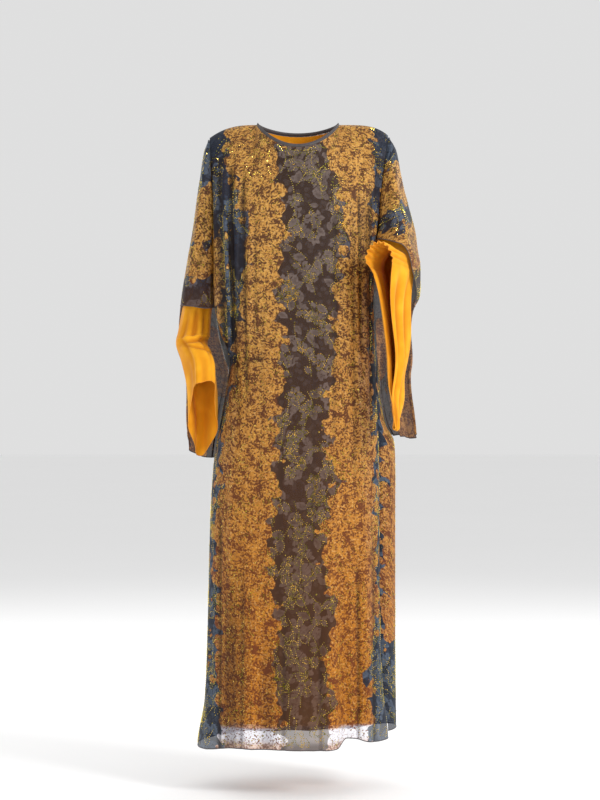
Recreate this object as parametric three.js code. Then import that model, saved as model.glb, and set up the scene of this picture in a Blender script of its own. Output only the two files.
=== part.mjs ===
// A worn butterfly abaya, hollow, as it hangs on a standing figure that is not modelled.
// Millimetres, +Z up, the front faces -Y. The origin is midway between the two neck points
// of the shoulder seam. "Right" and "left" are the wearer's own sides: right is at -X.
import * as THREE from "three";
import { mergeVertices } from "three/addons/utils/BufferGeometryUtils.js";

// Driving sizes
const SHEER_WALL = 1.4; // the printed shell, with its jacquard and stones
const LINING_WALL = 1.1; // the plain chiffon lining
const SEAM_GAP = 0.4; // space kept between neighbouring pieces
const VALLEY_GAP = 1.0; // the same along the valley between body and wing
const NECK_HALF_WIDTH = 95;
const FRONT_NECK = { depth: 98, drop: 62 };
const BACK_NECK = { depth: 88, drop: 16 };
const SHOULDER = {
  right: { end: -203, drop: 30, slope: 2.7 },
  left: { end: 207, drop: 24, slope: 4 },
};
const BUST_LEVEL = -230; // the yoke ends here and the level sections begin
const HEM_LEVEL = -1414; // at the middle of the front
const LINING_HEM_LEVEL = -1366;
const NECK_BINDING = { height: 8, wall: 3.4 };

const COLOURS = {
  shell: 0x6b4a2e,
  trim: 0x23262b,
  lining: 0xe9a12e,
};

// Small helpers
const mix = (a, b, t) => a + (b - a) * t;
const clamp01 = (t) => Math.min(1, Math.max(0, t));
const smooth = (t) => {
  const c = clamp01(t);
  return c * c * (3 - 2 * c);
};
const bell = (t) => Math.exp(-t * t);

// The smooth value of a column of a table whose rows are in falling order of the key.
function readTable(rows, key, column, at) {
  const n = rows.length;
  if (at >= rows[0][key]) return rows[0][column];
  if (at <= rows[n - 1][key]) return rows[n - 1][column];
  let i = 0;
  while (rows[i + 1][key] > at) i += 1;
  const slope = (j) => {
    if (j <= 0 || j >= n - 1) return 0;
    return (rows[j + 1][column] - rows[j - 1][column]) / (rows[j + 1][key] - rows[j - 1][key]);
  };
  const span = rows[i + 1][key] - rows[i][key];
  const t = (at - rows[i][key]) / span;
  const a = rows[i][column];
  const b = rows[i + 1][column];
  const t2 = t * t;
  const t3 = t2 * t;
  return (
    (2 * t3 - 3 * t2 + 1) * a +
    (t3 - 2 * t2 + t) * span * slope(i) +
    (3 * t2 - 2 * t3) * b +
    (t3 - t2) * span * slope(i + 1)
  );
}

function hermite(p0, m0, p1, m1, t) {
  const t2 = t * t;
  const t3 = t2 * t;
  return p0
    .clone()
    .multiplyScalar(2 * t3 - 3 * t2 + 1)
    .addScaledVector(m0, t3 - 2 * t2 + t)
    .addScaledVector(p1, 3 * t2 - 2 * t3)
    .addScaledVector(m1, t3 - t2);
}

// Level sections of the front panel. Edges: "r" at the wearer's right (-X), "l" at the left (+X).
const FRONT_SECTIONS = [
  { z: -230, rx: -193.5, ry: -44, lx: 183, ly: -44, bulge: -138, step: 0 },
  { z: -300, rx: -192.5, ry: -44, lx: 176, ly: -44, bulge: -142, step: 0 },
  { z: -419, rx: -190, ry: -46, lx: 172, ly: -44, bulge: -141, step: 0 },
  { z: -480, rx: -176, ry: -42, lx: 173, ly: -46, bulge: -139, step: 0 },
  { z: -535, rx: -156, ry: -14, lx: 175, ly: -46, bulge: -138, step: 0 },
  { z: -585, rx: -161, ry: 10, lx: 177, ly: -44, bulge: -138, step: 0 },
  { z: -632, rx: -169, ry: 14, lx: 179, ly: -42, bulge: -138, step: 0 },
  { z: -700, rx: -181, ry: 10, lx: 182, ly: -38, bulge: -138, step: 0 },
  { z: -787, rx: -194, ry: 0, lx: 185, ly: -32, bulge: -139, step: 0 },
  { z: -900, rx: -201, ry: 0, lx: 186, ly: -30, bulge: -140, step: 4 },
  { z: -1050, rx: -205, ry: 0, lx: 186, ly: -30, bulge: -142, step: 12 },
  { z: -1200, rx: -208, ry: 0, lx: 189, ly: -30, bulge: -145, step: 26 },
  { z: -1320, rx: -215, ry: 0, lx: 196, ly: -28, bulge: -149, step: 38 },
  { z: -1414, rx: -230, ry: 0, lx: 206, ly: -24, bulge: -153, step: 46 },
];

// Level sections of the back panel; "out" is its outermost point at the left, past which it
// turns forward by turnX and turnY. Where "joined" is 1 its two edges meet the front's.
const BACK_SECTIONS = [
  { z: -230, rx: -193.5, ry: 44, outX: 184, outY: 54, turnX: 1, turnY: 10, bulge: 118, joined: 0 },
  { z: -300, rx: -192.5, ry: 44, outX: 179, outY: 47, turnX: 1, turnY: 10, bulge: 122, joined: 0 },
  { z: -419, rx: -190, ry: 42, outX: 178, outY: 40, turnX: 1, turnY: 10, bulge: 121, joined: 0 },
  { z: -480, rx: -184, ry: 38, outX: 181, outY: 38, turnX: 1, turnY: 10, bulge: 120, joined: 0 },
  { z: -535, rx: -170, ry: 26, outX: 184, outY: 38, turnX: 1, turnY: 12, bulge: 119, joined: 0 },
  { z: -585, rx: -162, ry: 16, outX: 187, outY: 36, turnX: 3, turnY: 40, bulge: 119, joined: 1 },
  { z: -632, rx: -172, ry: 16, outX: 190, outY: 35, turnX: 4, turnY: 60, bulge: 120, joined: 1 },
  { z: -690, rx: -183, ry: 12, outX: 203, outY: 34, turnX: 8, turnY: 60, bulge: 122, joined: 1 },
  { z: -725, rx: -187, ry: 8, outX: 221, outY: 32, turnX: 8, turnY: 60, bulge: 123, joined: 1 },
  { z: -787, rx: -198, ry: 1, outX: 225, outY: 30, turnX: 34, turnY: 56, bulge: 125, joined: 1 },
  { z: -900, rx: -203, ry: 1, outX: 225, outY: 30, turnX: 37, turnY: 55, bulge: 129, joined: 1 },
  { z: -1050, rx: -206, ry: 1, outX: 225, outY: 30, turnX: 37, turnY: 55, bulge: 134, joined: 1 },
  { z: -1200, rx: -208, ry: 1, outX: 225, outY: 30, turnX: 34, turnY: 55, bulge: 139, joined: 1 },
  { z: -1320, rx: -215, ry: 1, outX: 226, outY: 30, turnX: 28, turnY: 53, bulge: 144, joined: 1 },
  { z: -1414, rx: -230, ry: 1, outX: 227, outY: 30, turnX: 19, turnY: 49, bulge: 150, joined: 1 },
];

// Vertical folds: where a ridge (depth over 0) or a trough (under 0) runs, in x, and over
// which levels it grows in and fades out.
const FRONT_FOLDS = [
  { topX: -186, lowX: -160, from: -150, full: -260, fade: -520, end: -590, width: 9, depth: -9 },
  { topX: -172, lowX: -150, from: -170, full: -280, fade: -520, end: -600, width: 8, depth: 8 },
  { topX: -160, lowX: -142, from: -150, full: -300, fade: -540, end: -640, width: 8, depth: -9 },
  { topX: -130, lowX: -138, from: -160, full: -330, fade: -600, end: -760, width: 9, depth: -7 },
  { topX: 152, lowX: 158, from: -130, full: -230, fade: -420, end: -560, width: 12, depth: -8 },
  { topX: 60, lowX: 74, from: -900, full: -1250, fade: -1500, end: -1600, width: 20, depth: 9 },
  { topX: -150, lowX: -152, from: -850, full: -1250, fade: -1500, end: -1600, width: 22, depth: -10 },
  { topX: -60, lowX: -70, from: -950, full: -1350, fade: -1500, end: -1600, width: 26, depth: -7 },
  { topX: -6, lowX: 6, from: -950, full: -1350, fade: -1500, end: -1600, width: 24, depth: 6 },
  { topX: 146, lowX: 158, from: -760, full: -1100, fade: -1500, end: -1600, width: 16, depth: 9 },
];
const BACK_FOLDS = [
  { topX: -150, lowX: -168, from: -200, full: -700, fade: -1500, end: -1600, width: 20, depth: -11 },
  { topX: -104, lowX: -122, from: -300, full: -800, fade: -1500, end: -1600, width: 22, depth: 10 },
  { topX: -62, lowX: -72, from: -240, full: -800, fade: -1500, end: -1600, width: 20, depth: -12 },
  { topX: -18, lowX: -22, from: -360, full: -900, fade: -1500, end: -1600, width: 20, depth: 9 },
  { topX: 24, lowX: 30, from: -260, full: -850, fade: -1500, end: -1600, width: 20, depth: -12 },
  { topX: 66, lowX: 82, from: -340, full: -800, fade: -1500, end: -1600, width: 22, depth: 10 },
  { topX: 112, lowX: 134, from: -220, full: -700, fade: -1500, end: -1600, width: 20, depth: -11 },
];
const FOLD_TABLE_TOP = -150;

// How far the folds push the cloth out, towards the viewer of that panel, at x and z.
function foldHeight(folds, x, z) {
  return folds.reduce((sum, f) => {
    const grown = smooth((f.from - z) / (f.from - f.full));
    const left = 1 - smooth((f.fade - z) / (f.fade - f.end));
    const at = mix(f.topX, f.lowX, clamp01((FOLD_TABLE_TOP - z) / (FOLD_TABLE_TOP - f.end)));
    return sum + f.depth * grown * left * bell((x - at) / f.width);
  }, 0);
}

// The front steps back beside the big fold that opens towards the hem at the wearer's left.
const STEP_FOLD = { topX: 84, lowX: 97, half: 11, from: -780 };
function stepBack(x, z, depth) {
  const at = mix(STEP_FOLD.topX, STEP_FOLD.lowX, (STEP_FOLD.from - z) / (STEP_FOLD.from - HEM_LEVEL));
  return depth * smooth((x - at + STEP_FOLD.half) / (2 * STEP_FOLD.half));
}

// Columns of the body panels: shoulder, neckline, shoulder, and the back's forward turn.
const NECK_FROM = 10;
const NECK_TO = 22;
const FRONT_COLUMNS = 32;
const BACK_MAIN_COLUMNS = 32;
const BACK_COLUMNS = 36;
const SECTION_POWER = 0.72; // under 1: flatter across the front and rounder at the sides

function shoulderHeight(x) {
  const side = x < 0 ? SHOULDER.right : SHOULDER.left;
  const t = (Math.abs(x) - NECK_HALF_WIDTH) / (Math.abs(side.end) - NECK_HALF_WIDTH);
  return -side.drop * Math.pow(clamp01(t), side.slope);
}

// The top edge of a body panel at a column, and the way the cloth leaves it.
// face is -1 on the front and 1 on the back.
function topEdge(column, columns, face, neck) {
  const seamY = (face * SEAM_GAP) / 2;
  const across = (from, to, t) => mix(from, to, t);
  let x;
  let frontness = 0;
  const point = new THREE.Vector3();
  if (column <= NECK_FROM) {
    x = across(SHOULDER.right.end, -NECK_HALF_WIDTH, column / NECK_FROM);
    point.set(x, seamY, shoulderHeight(x));
  } else if (column >= NECK_TO) {
    x = across(NECK_HALF_WIDTH, SHOULDER.left.end, (column - NECK_TO) / (columns - NECK_TO));
    point.set(x, seamY, shoulderHeight(x));
  } else {
    const turn = (Math.PI * (column - NECK_FROM)) / (NECK_TO - NECK_FROM);
    frontness = Math.sin(turn);
    point.set(
      -NECK_HALF_WIDTH * Math.cos(turn),
      face * neck.depth * frontness,
      -neck.drop * Math.pow(frontness, 1.5),
    );
  }
  const outer = clamp01((Math.abs(point.x) - NECK_HALF_WIDTH) / 110);
  const leave = new THREE.Vector3(
    0,
    face * mix(mix(150, 118, outer), 42, frontness),
    -mix(mix(28, 62, outer), 130, frontness),
  );
  return { point, leave };
}

function frontLevel(column, z) {
  const at = (name) => readTable(FRONT_SECTIONS, "z", name, z);
  const turn = (Math.PI * column) / FRONT_COLUMNS;
  const share = (1 - Math.cos(turn)) / 2;
  const x = mix(at("rx"), at("lx"), share);
  const edgeY = mix(at("ry"), at("ly"), share);
  const out = Math.pow(Math.max(0, Math.sin(turn)), SECTION_POWER);
  const y = mix(edgeY, at("bulge"), out);
  const freed = smooth(Math.sin(turn) * 3.2);
  const folded = -foldHeight(FRONT_FOLDS, x, z) * freed + stepBack(x, z, at("step")) * out;
  return new THREE.Vector3(x, y + folded, z);
}

// The front's edges at level z, which the back's meet across the seam gap.
const frontRightAt = (z) => ({
  x: readTable(FRONT_SECTIONS, "z", "rx", z),
  y: readTable(FRONT_SECTIONS, "z", "ry", z) + SEAM_GAP + 0.2,
});
const frontLeftAt = (z) => ({
  x: readTable(FRONT_SECTIONS, "z", "lx", z) + SEAM_GAP + 0.2,
  y: readTable(FRONT_SECTIONS, "z", "ly", z) + SEAM_GAP,
});

function backLevel(column, z) {
  const at = (name) => readTable(BACK_SECTIONS, "z", name, z);
  const joined = clamp01(at("joined"));
  if (column > BACK_MAIN_COLUMNS) {
    const quarter = Math.PI / 2;
    const turn = ((column - BACK_MAIN_COLUMNS) / (BACK_COLUMNS - BACK_MAIN_COLUMNS)) * quarter;
    const seam = frontLeftAt(z);
    const endX = mix(at("outX") - at("turnX"), seam.x, joined);
    const endY = mix(at("outY") - at("turnY"), seam.y, joined);
    return new THREE.Vector3(
      mix(at("outX"), endX, 1 - Math.cos(turn)),
      mix(at("outY"), endY, Math.sin(turn)),
      z,
    );
  }
  const turn = (Math.PI * column) / BACK_MAIN_COLUMNS;
  const share = (1 - Math.cos(turn)) / 2;
  const seam = frontRightAt(z);
  const edgeX = mix(at("rx"), seam.x, joined);
  const x = mix(edgeX, at("outX"), share);
  const edgeY = mix(mix(at("ry"), seam.y, joined), at("outY"), share);
  const out = Math.pow(Math.max(0, Math.sin(turn)), SECTION_POWER);
  const freed = smooth(Math.sin(turn) * 3.2);
  return new THREE.Vector3(x, mix(edgeY, at("bulge"), out) + foldHeight(BACK_FOLDS, x, z) * freed, z);
}

// A body panel's point: the yoke runs from the top edge to the bust level, and level
// sections carry on from there. v is the yoke's share, 0 to 1, or the level below it.
const YOKE_END_PULL = 190;
function yokePoint(column, columns, face, neck, level, t) {
  const top = topEdge(column, columns, face, neck);
  const end = level(column, BUST_LEVEL);
  const below = level(column, BUST_LEVEL - 20);
  const fall = below.sub(end).multiplyScalar(YOKE_END_PULL / 20);
  return hermite(top.point, top.leave, end, fall, t);
}
const frontYoke = (column, t) => yokePoint(column, FRONT_COLUMNS, -1, FRONT_NECK, frontLevel, t);
const backYoke = (column, t) => yokePoint(column, BACK_COLUMNS, 1, BACK_NECK, backLevel, t);

// The point of a yoke edge at level z, found by halving.
function yokeAtLevel(yoke, column, z) {
  let low = 0;
  let high = 1;
  for (let i = 0; i < 40; i += 1) {
    const t = (low + high) / 2;
    if (yoke(column, t).z > z) low = t;
    else high = t;
  }
  return yoke(column, (low + high) / 2);
}
const bodyEdge = (yoke, level, column, z) =>
  z > BUST_LEVEL ? yokeAtLevel(yoke, column, z) : level(column, z);

// The overarm lines, from the shoulder's end to the cuff, then the rear layer's free edge.
// innerY is the depth of the valley between body and sleeve; front and back are the bulges.
const SLEEVE_RIGHT = [
  { z: -36, x: -207, y: 0, front: 14, back: 14 },
  { z: -52, x: -212, y: 0, front: 30, back: 30 },
  { z: -67, x: -216, y: 0, front: 40, back: 38 },
  { z: -94, x: -221, y: 0, front: 52, back: 50 },
  { z: -122, x: -225, y: 0, front: 60, back: 58 },
  { z: -152, x: -230, y: 0, front: 64, back: 62 },
  { z: -189, x: -235, y: 0, front: 68, back: 66 },
  { z: -235, x: -241, y: 0, front: 70, back: 68 },
  { z: -281, x: -249, y: 0, front: 72, back: 70 },
  { z: -327, x: -257, y: 0, front: 72, back: 70 },
  { z: -373, x: -265, y: 2, front: 72, back: 68 },
  { z: -419, x: -271, y: 6, front: 72, back: 62 },
  { z: -476, x: -275, y: 18, front: 70, back: 46 },
  { z: -540, x: -266, y: 26, front: 66, back: 36 },
  { z: -600, x: -259, y: 28, front: 60, back: 30 },
  { z: -680, x: -258, y: 28, front: 60, back: 26 },
  { z: -766, x: -251, y: 26, front: 60, back: 24 },
];
const SLEEVE_LEFT = [
  { z: -30, x: 211, y: 0, front: 12, back: 12 },
  { z: -45, x: 219, y: 0, front: 26, back: 26 },
  { z: -60, x: 226, y: 0, front: 36, back: 36 },
  { z: -83, x: 231, y: 0, front: 46, back: 44 },
  { z: -110, x: 235, y: 0, front: 58, back: 54 },
  { z: -150, x: 243, y: 0, front: 70, back: 62 },
  { z: -195, x: 255, y: 0, front: 88, back: 68 },
  { z: -241, x: 267, y: 0, front: 116, back: 72 },
  { z: -281, x: 274, y: 0, front: 142, back: 76 },
  { z: -327, x: 280, y: 0, front: 160, back: 78 },
  { z: -373, x: 281, y: 2, front: 166, back: 76 },
  { z: -400, x: 278, y: 4, front: 166, back: 72 },
  { z: -426, x: 266, y: 6, front: 164, back: 66 },
  { z: -470, x: 261, y: 14, front: 160, back: 56 },
  { z: -540, x: 265, y: 20, front: 160, back: 42 },
  { z: -580, x: 260, y: 24, front: 160, back: 36 },
  { z: -620, x: 261, y: 26, front: 160, back: 32 },
  { z: -668, x: 267, y: 26, front: 160, back: 28 },
  { z: -722, x: 272, y: 26, front: 160, back: 26 },
];
const SLEEVE_TOP = { right: -36, left: -30 };

// Lower edges of the sleeve's front layer: share 0 at the valley and 1 at the overarm line.
const CUFF_RIGHT = [
  { share: 1, z: -415 },
  { share: 0.6, z: -419 },
  { share: 0.3, z: -424 },
  { share: 0, z: -421 },
];
const CUFF_LEFT = [
  { share: 1, z: -418 },
  { share: 0.84, z: -410 },
  { share: 0.7, z: -352 },
  { share: 0.58, z: -296 },
  { share: 0.42, z: -278 },
  { share: 0.2, z: -270 },
  { share: 0, z: -268 },
];
// Lower edges of the rear layers, from the back panel's edge (0) to the free edge (1).
const FLAP_RIGHT = [
  { share: 1, z: -706 },
  { share: 0.85, z: -746 },
  { share: 0.5, z: -762 },
  { share: 0, z: -764 },
];
const FLAP_LEFT = [
  { share: 1, z: -708 },
  { share: 0.8, z: -720 },
  { share: 0.5, z: -718 },
  { share: 0, z: -712 },
];

// One level section of a sleeve's layer: a cubic from the body's edge out to the overarm line.
function sleeveSection(rows, inner, face, share, z, waves) {
  const outX = readTable(rows, "z", "x", z);
  const outY = readTable(rows, "z", "y", z) + (face * SEAM_GAP) / 2;
  const bulge = readTable(rows, "z", face < 0 ? "front" : "back", z) * face;
  const side = Math.sign(outX);
  const start = { x: inner.x + side * VALLEY_GAP, y: inner.y + face * 0.1 };
  const wide = outX - start.x;
  const c0 = { x: start.x + 0.04 * wide, y: start.y + (bulge - start.y) * 1.15 };
  const c1 = { x: outX + 0.02 * wide, y: outY + (bulge - outY) * 1.2 };
  const b = [
    Math.pow(1 - share, 3),
    3 * share * Math.pow(1 - share, 2),
    3 * share * share * (1 - share),
    share * share * share,
  ];
  const x = b[0] * start.x + b[1] * c0.x + b[2] * c1.x + b[3] * outX;
  const y = b[0] * start.y + b[1] * c0.y + b[2] * c1.y + b[3] * outY;
  return new THREE.Vector3(x, y + waves(share, z), z);
}

// Rear layers hang loose below the cuff, in deep vertical waves.
const flapWaves = (count, depth, from) => (share, z) =>
  depth * smooth((from - z) / 160) * Math.sin(2 * Math.PI * count * share) * smooth(share * 4);
const NO_WAVES = () => 0;

// A closed wall from a grid of points on its outer side: points[row][column]. The inner
// points are kept on their own side of the shoulder seam by the function given.
const SEAM_ENDS = -140; // the shoulder seam's lowest level
const ownFront = (p) => (p.z > SEAM_ENDS ? p.setY(Math.min(p.y, -SEAM_GAP / 2)) : p);
const ownBack = (p) => (p.z > SEAM_ENDS ? p.setY(Math.max(p.y, SEAM_GAP / 2)) : p);
const anySide = (p) => p;

function wallFromGrid(points, wall, outward, keep = anySide) {
  const rows = points.length;
  const columns = points[0].length;
  const at = (r, c) =>
    points[Math.min(rows - 1, Math.max(0, r))][Math.min(columns - 1, Math.max(0, c))];
  const outer = [];
  const inner = [];
  for (let r = 0; r < rows; r += 1) {
    for (let c = 0; c < columns; c += 1) {
      const along = at(r, c + 1).clone().sub(at(r, c - 1));
      const down = at(r + 1, c).clone().sub(at(r - 1, c));
      const normal = along.cross(down).normalize().multiplyScalar(outward);
      outer.push(at(r, c));
      inner.push(keep(at(r, c).clone().addScaledVector(normal, -wall)));
    }
  }
  const positions = [];
  const face = (a, b, c) => {
    const order = outward > 0 ? [a, b, c] : [a, c, b];
    order.forEach((p) => positions.push(p.x, p.y, p.z));
  };
  const quad = (a, b, c, d) => {
    face(a, b, c);
    face(a, c, d);
  };
  const index = (r, c) => r * columns + c;
  for (let r = 0; r < rows - 1; r += 1) {
    for (let c = 0; c < columns - 1; c += 1) {
      const [i, j, k, l] = [index(r, c), index(r, c + 1), index(r + 1, c + 1), index(r + 1, c)];
      quad(outer[i], outer[j], outer[k], outer[l]);
      quad(inner[i], inner[l], inner[k], inner[j]);
    }
  }
  for (let c = 0; c < columns - 1; c += 1) {
    const [i, j] = [index(0, c), index(0, c + 1)];
    const [k, l] = [index(rows - 1, c), index(rows - 1, c + 1)];
    quad(outer[j], outer[i], inner[i], inner[j]);
    quad(outer[k], outer[l], inner[l], inner[k]);
  }
  for (let r = 0; r < rows - 1; r += 1) {
    const [i, j] = [index(r, 0), index(r + 1, 0)];
    const [k, l] = [index(r, columns - 1), index(r + 1, columns - 1)];
    quad(outer[i], outer[j], inner[j], inner[i]);
    quad(outer[l], outer[k], inner[k], inner[l]);
  }
  return closedGeometry(positions);
}

// A tube wall from closed rings of points on its outer side, open at both ends.
function wallFromRings(rings, wall) {
  const count = rings[0].length;
  const centres = rings.map((ring) =>
    ring.reduce((sum, p) => sum.add(p), new THREE.Vector3()).divideScalar(count),
  );
  const inner = rings.map((ring, r) => {
    const before = rings[Math.max(0, r - 1)];
    const after = rings[Math.min(rings.length - 1, r + 1)];
    return ring.map((p, i) => {
      const along = after[i].clone().sub(before[i]);
      const around = ring[(i + 1) % count].clone().sub(ring[(i + count - 1) % count]);
      const normal = around.cross(along);
      if (r === 0) normal.x = 0; // the first ring's wall stays in the armhole's plane
      normal.normalize();
      if (normal.dot(p.clone().sub(centres[r])) < 0) normal.negate();
      return p.clone().addScaledVector(normal, -wall);
    });
  });
  const positions = [];
  const quad = (a, b, c, d) => {
    [a, b, c, a, c, d].forEach((p) => positions.push(p.x, p.y, p.z));
  };
  for (let i = 0; i < count; i += 1) {
    const j = (i + 1) % count;
    for (let r = 0; r < rings.length - 1; r += 1) {
      quad(rings[r][i], rings[r + 1][i], rings[r + 1][j], rings[r][j]);
      quad(inner[r][i], inner[r][j], inner[r + 1][j], inner[r + 1][i]);
    }
    const last = rings.length - 1;
    quad(rings[0][i], rings[0][j], inner[0][j], inner[0][i]);
    quad(rings[last][j], rings[last][i], inner[last][i], inner[last][j]);
  }
  return closedGeometry(positions);
}

function signedVolume(geometry) {
  const p = geometry.attributes.position;
  const order = geometry.index;
  const [a, b, c] = [new THREE.Vector3(), new THREE.Vector3(), new THREE.Vector3()];
  let six = 0;
  for (let i = 0; i < order.count; i += 3) {
    a.fromBufferAttribute(p, order.getX(i));
    b.fromBufferAttribute(p, order.getX(i + 1));
    c.fromBufferAttribute(p, order.getX(i + 2));
    six += a.dot(b.cross(c));
  }
  return six / 6;
}

// Merges shared points, and turns every face round where the loop ran the other way.
function closedGeometry(positions) {
  const loose = new THREE.BufferGeometry();
  loose.setAttribute("position", new THREE.Float32BufferAttribute(positions, 3));
  const merged = mergeVertices(loose, 1e-4);
  if (signedVolume(merged) < 0) {
    const index = merged.index.array;
    for (let i = 0; i < index.length; i += 3) {
      [index[i + 1], index[i + 2]] = [index[i + 2], index[i + 1]];
    }
  }
  merged.computeVertexNormals();
  return merged;
}

// The levels of the rows below the yoke: closer where the edges move most.
const YOKE_ROWS = 7;
const BODY_LEVELS = [
  -256, -284, -312, -346, -384, -421, -455, -488, -512, -535, -560, -585, -632, -690, -735,
  -787, -850, -920, -1000, -1080, -1160, -1240, -1310, -1370, HEM_LEVEL,
];

// How far the hem hangs below (under 0) or above its middle level, from left to right.
const HEM_LINE_FRONT = [
  { x: 206, rise: 10 },
  { x: 170, rise: 8 },
  { x: 110, rise: 19 },
  { x: 88, rise: 2 },
  { x: 0, rise: 0 },
  { x: -150, rise: 0 },
  { x: -230, rise: -8 },
];
const HEM_LINE_BACK = [
  { x: 230, rise: 28 },
  { x: 200, rise: 24 },
  { x: 120, rise: 8 },
  { x: 0, rise: 0 },
  { x: -150, rise: 0 },
  { x: -230, rise: -8 },
];
const HEM_RISE_FROM = -1160;

// The level section bent so that its lowest one follows the hem line.
function hemmed(level, hemLine) {
  return (column, z) => {
    if (z > HEM_RISE_FROM) return level(column, z);
    const p = level(column, z);
    const share = (HEM_RISE_FROM - z) / (HEM_RISE_FROM - HEM_LEVEL);
    p.z += readTable(hemLine, "x", "rise", p.x) * share * share;
    return p;
  };
}

function bodyGrid(columns, yoke, level, levels) {
  const points = [];
  for (let r = 0; r <= YOKE_ROWS; r += 1) {
    points.push(Array.from({ length: columns + 1 }, (_, c) => yoke(c, r / YOKE_ROWS)));
  }
  levels.forEach((z) => {
    points.push(Array.from({ length: columns + 1 }, (_, c) => level(c, z)));
  });
  return points;
}

// A sleeve layer's grid between its top and its own lower edge.
function sleeveGrid(rows, top, lowEdge, innerAt, face, columns, count, waves) {
  const points = [];
  for (let r = 0; r <= count; r += 1) {
    const line = [];
    for (let c = 0; c <= columns; c += 1) {
      const share = c / columns;
      const low = readTable(lowEdge, "share", "z", share);
      const z = mix(top, low, r / count);
      line.push(sleeveSection(rows, innerAt(z), face, share, z, waves));
    }
    points.push(line);
  }
  return points;
}

const frontEdgeRight = (z) => bodyEdge(frontYoke, frontLevel, 0, z);
const frontEdgeLeft = (z) => bodyEdge(frontYoke, frontLevel, FRONT_COLUMNS, z);
const backEdgeRight = (z) => bodyEdge(backYoke, backLevel, 0, z);
// At the left the rear layer leaves the back where it starts to turn forward.
const TURN_STARTS = { from: -420, full: -520, clear: 0.7 };
const backEdgeLeft = (z) => {
  const edge = bodyEdge(backYoke, backLevel, BACK_COLUMNS, z);
  const t = smooth((TURN_STARTS.from - z) / (TURN_STARTS.from - TURN_STARTS.full));
  if (t === 0) return edge;
  const turning = backLevel(BACK_MAIN_COLUMNS, z);
  turning.x += TURN_STARTS.clear;
  return edge.lerp(turning, t);
};

// The lining: a plain slip inside the shell, from the same neckline, and its own sleeves.
const LINING_ARMHOLE = { halfX: 170, bottom: -216, open: 140 };
const LINING_SECTIONS = [
  { z: -216, half: 170, front: -119, back: 101 },
  { z: -300, half: 164, front: -121, back: 105 },
  { z: -420, half: 146, front: -119, back: 103 },
  { z: -560, half: 138, front: -115, back: 101 },
  { z: -800, half: 148, front: -110, back: 105 },
  { z: -1100, half: 158, front: -103, back: 110 },
  { z: -1366, half: 166, front: -98, back: 117 },
];
// Below 1, the sections are fuller towards their side edges than an ellipse is.
const LINING_ROUNDNESS = 0.8;
const LINING_COLUMNS = 20;
const LINING_NECK_FROM = 6;
const LINING_INSET = 3.4;
const LINING_LEVELS = [-300, -420, -560, -800, -1000, -1180, LINING_HEM_LEVEL];
const LINING_YOKE_ROWS = 5;

function liningTop(column, face, neck) {
  const neckTo = LINING_COLUMNS - LINING_NECK_FROM;
  const end = LINING_ARMHOLE.halfX;
  const half = NECK_HALF_WIDTH - 0.8;
  const point = new THREE.Vector3();
  let frontness = 0;
  if (column <= LINING_NECK_FROM || column >= neckTo) {
    const t =
      column <= LINING_NECK_FROM
        ? 1 - column / LINING_NECK_FROM
        : (column - neckTo) / LINING_NECK_FROM;
    const x = mix(half, end, t) * (column < neckTo ? -1 : 1);
    const inset = mix(LINING_INSET, 6, t);
    point.set(x, (face * SEAM_GAP) / 2, shoulderHeight(x) - inset);
  } else {
    const turn = (Math.PI * (column - LINING_NECK_FROM)) / (neckTo - LINING_NECK_FROM);
    frontness = Math.sin(turn);
    point.set(
      -half * Math.cos(turn),
      face * Math.max(SEAM_GAP / 2, (neck.depth - LINING_INSET) * frontness),
      -neck.drop * Math.pow(frontness, 1.5) - LINING_INSET * (1 - 0.4 * frontness),
    );
  }
  return { point, frontness };
}

function liningLevel(column, face, z) {
  const half = readTable(LINING_SECTIONS, "z", "half", z);
  const bulge = readTable(LINING_SECTIONS, "z", face < 0 ? "front" : "back", z);
  const turn = (Math.PI * column) / LINING_COLUMNS;
  const out = Math.pow(Math.max(0, Math.sin(turn)), LINING_ROUNDNESS);
  return new THREE.Vector3(-half * Math.cos(turn), mix((face * SEAM_GAP) / 2, bulge, out), z);
}

function liningGrid(face, neck) {
  const points = [];
  for (let r = 0; r <= LINING_YOKE_ROWS; r += 1) {
    const line = [];
    for (let c = 0; c <= LINING_COLUMNS; c += 1) {
      const { point, frontness } = liningTop(c, face, neck);
      const end = liningLevel(c, face, LINING_ARMHOLE.bottom);
      const side = Math.pow(Math.abs(Math.cos((Math.PI * c) / LINING_COLUMNS)), 7);
      const leave = new THREE.Vector3(
        0,
        face * mix(mix(112, LINING_ARMHOLE.open, side), 34, frontness),
        -mix(60, 120, frontness),
      );
      const fall = new THREE.Vector3(0, -face * LINING_ARMHOLE.open * side, -mix(170, 60, side));
      line.push(hermite(point, leave, end, fall, r / LINING_YOKE_ROWS));
    }
    points.push(line);
  }
  LINING_LEVELS.forEach((z) => {
    points.push(Array.from({ length: LINING_COLUMNS + 1 }, (_, c) => liningLevel(c, face, z)));
  });
  return points;
}

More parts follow.
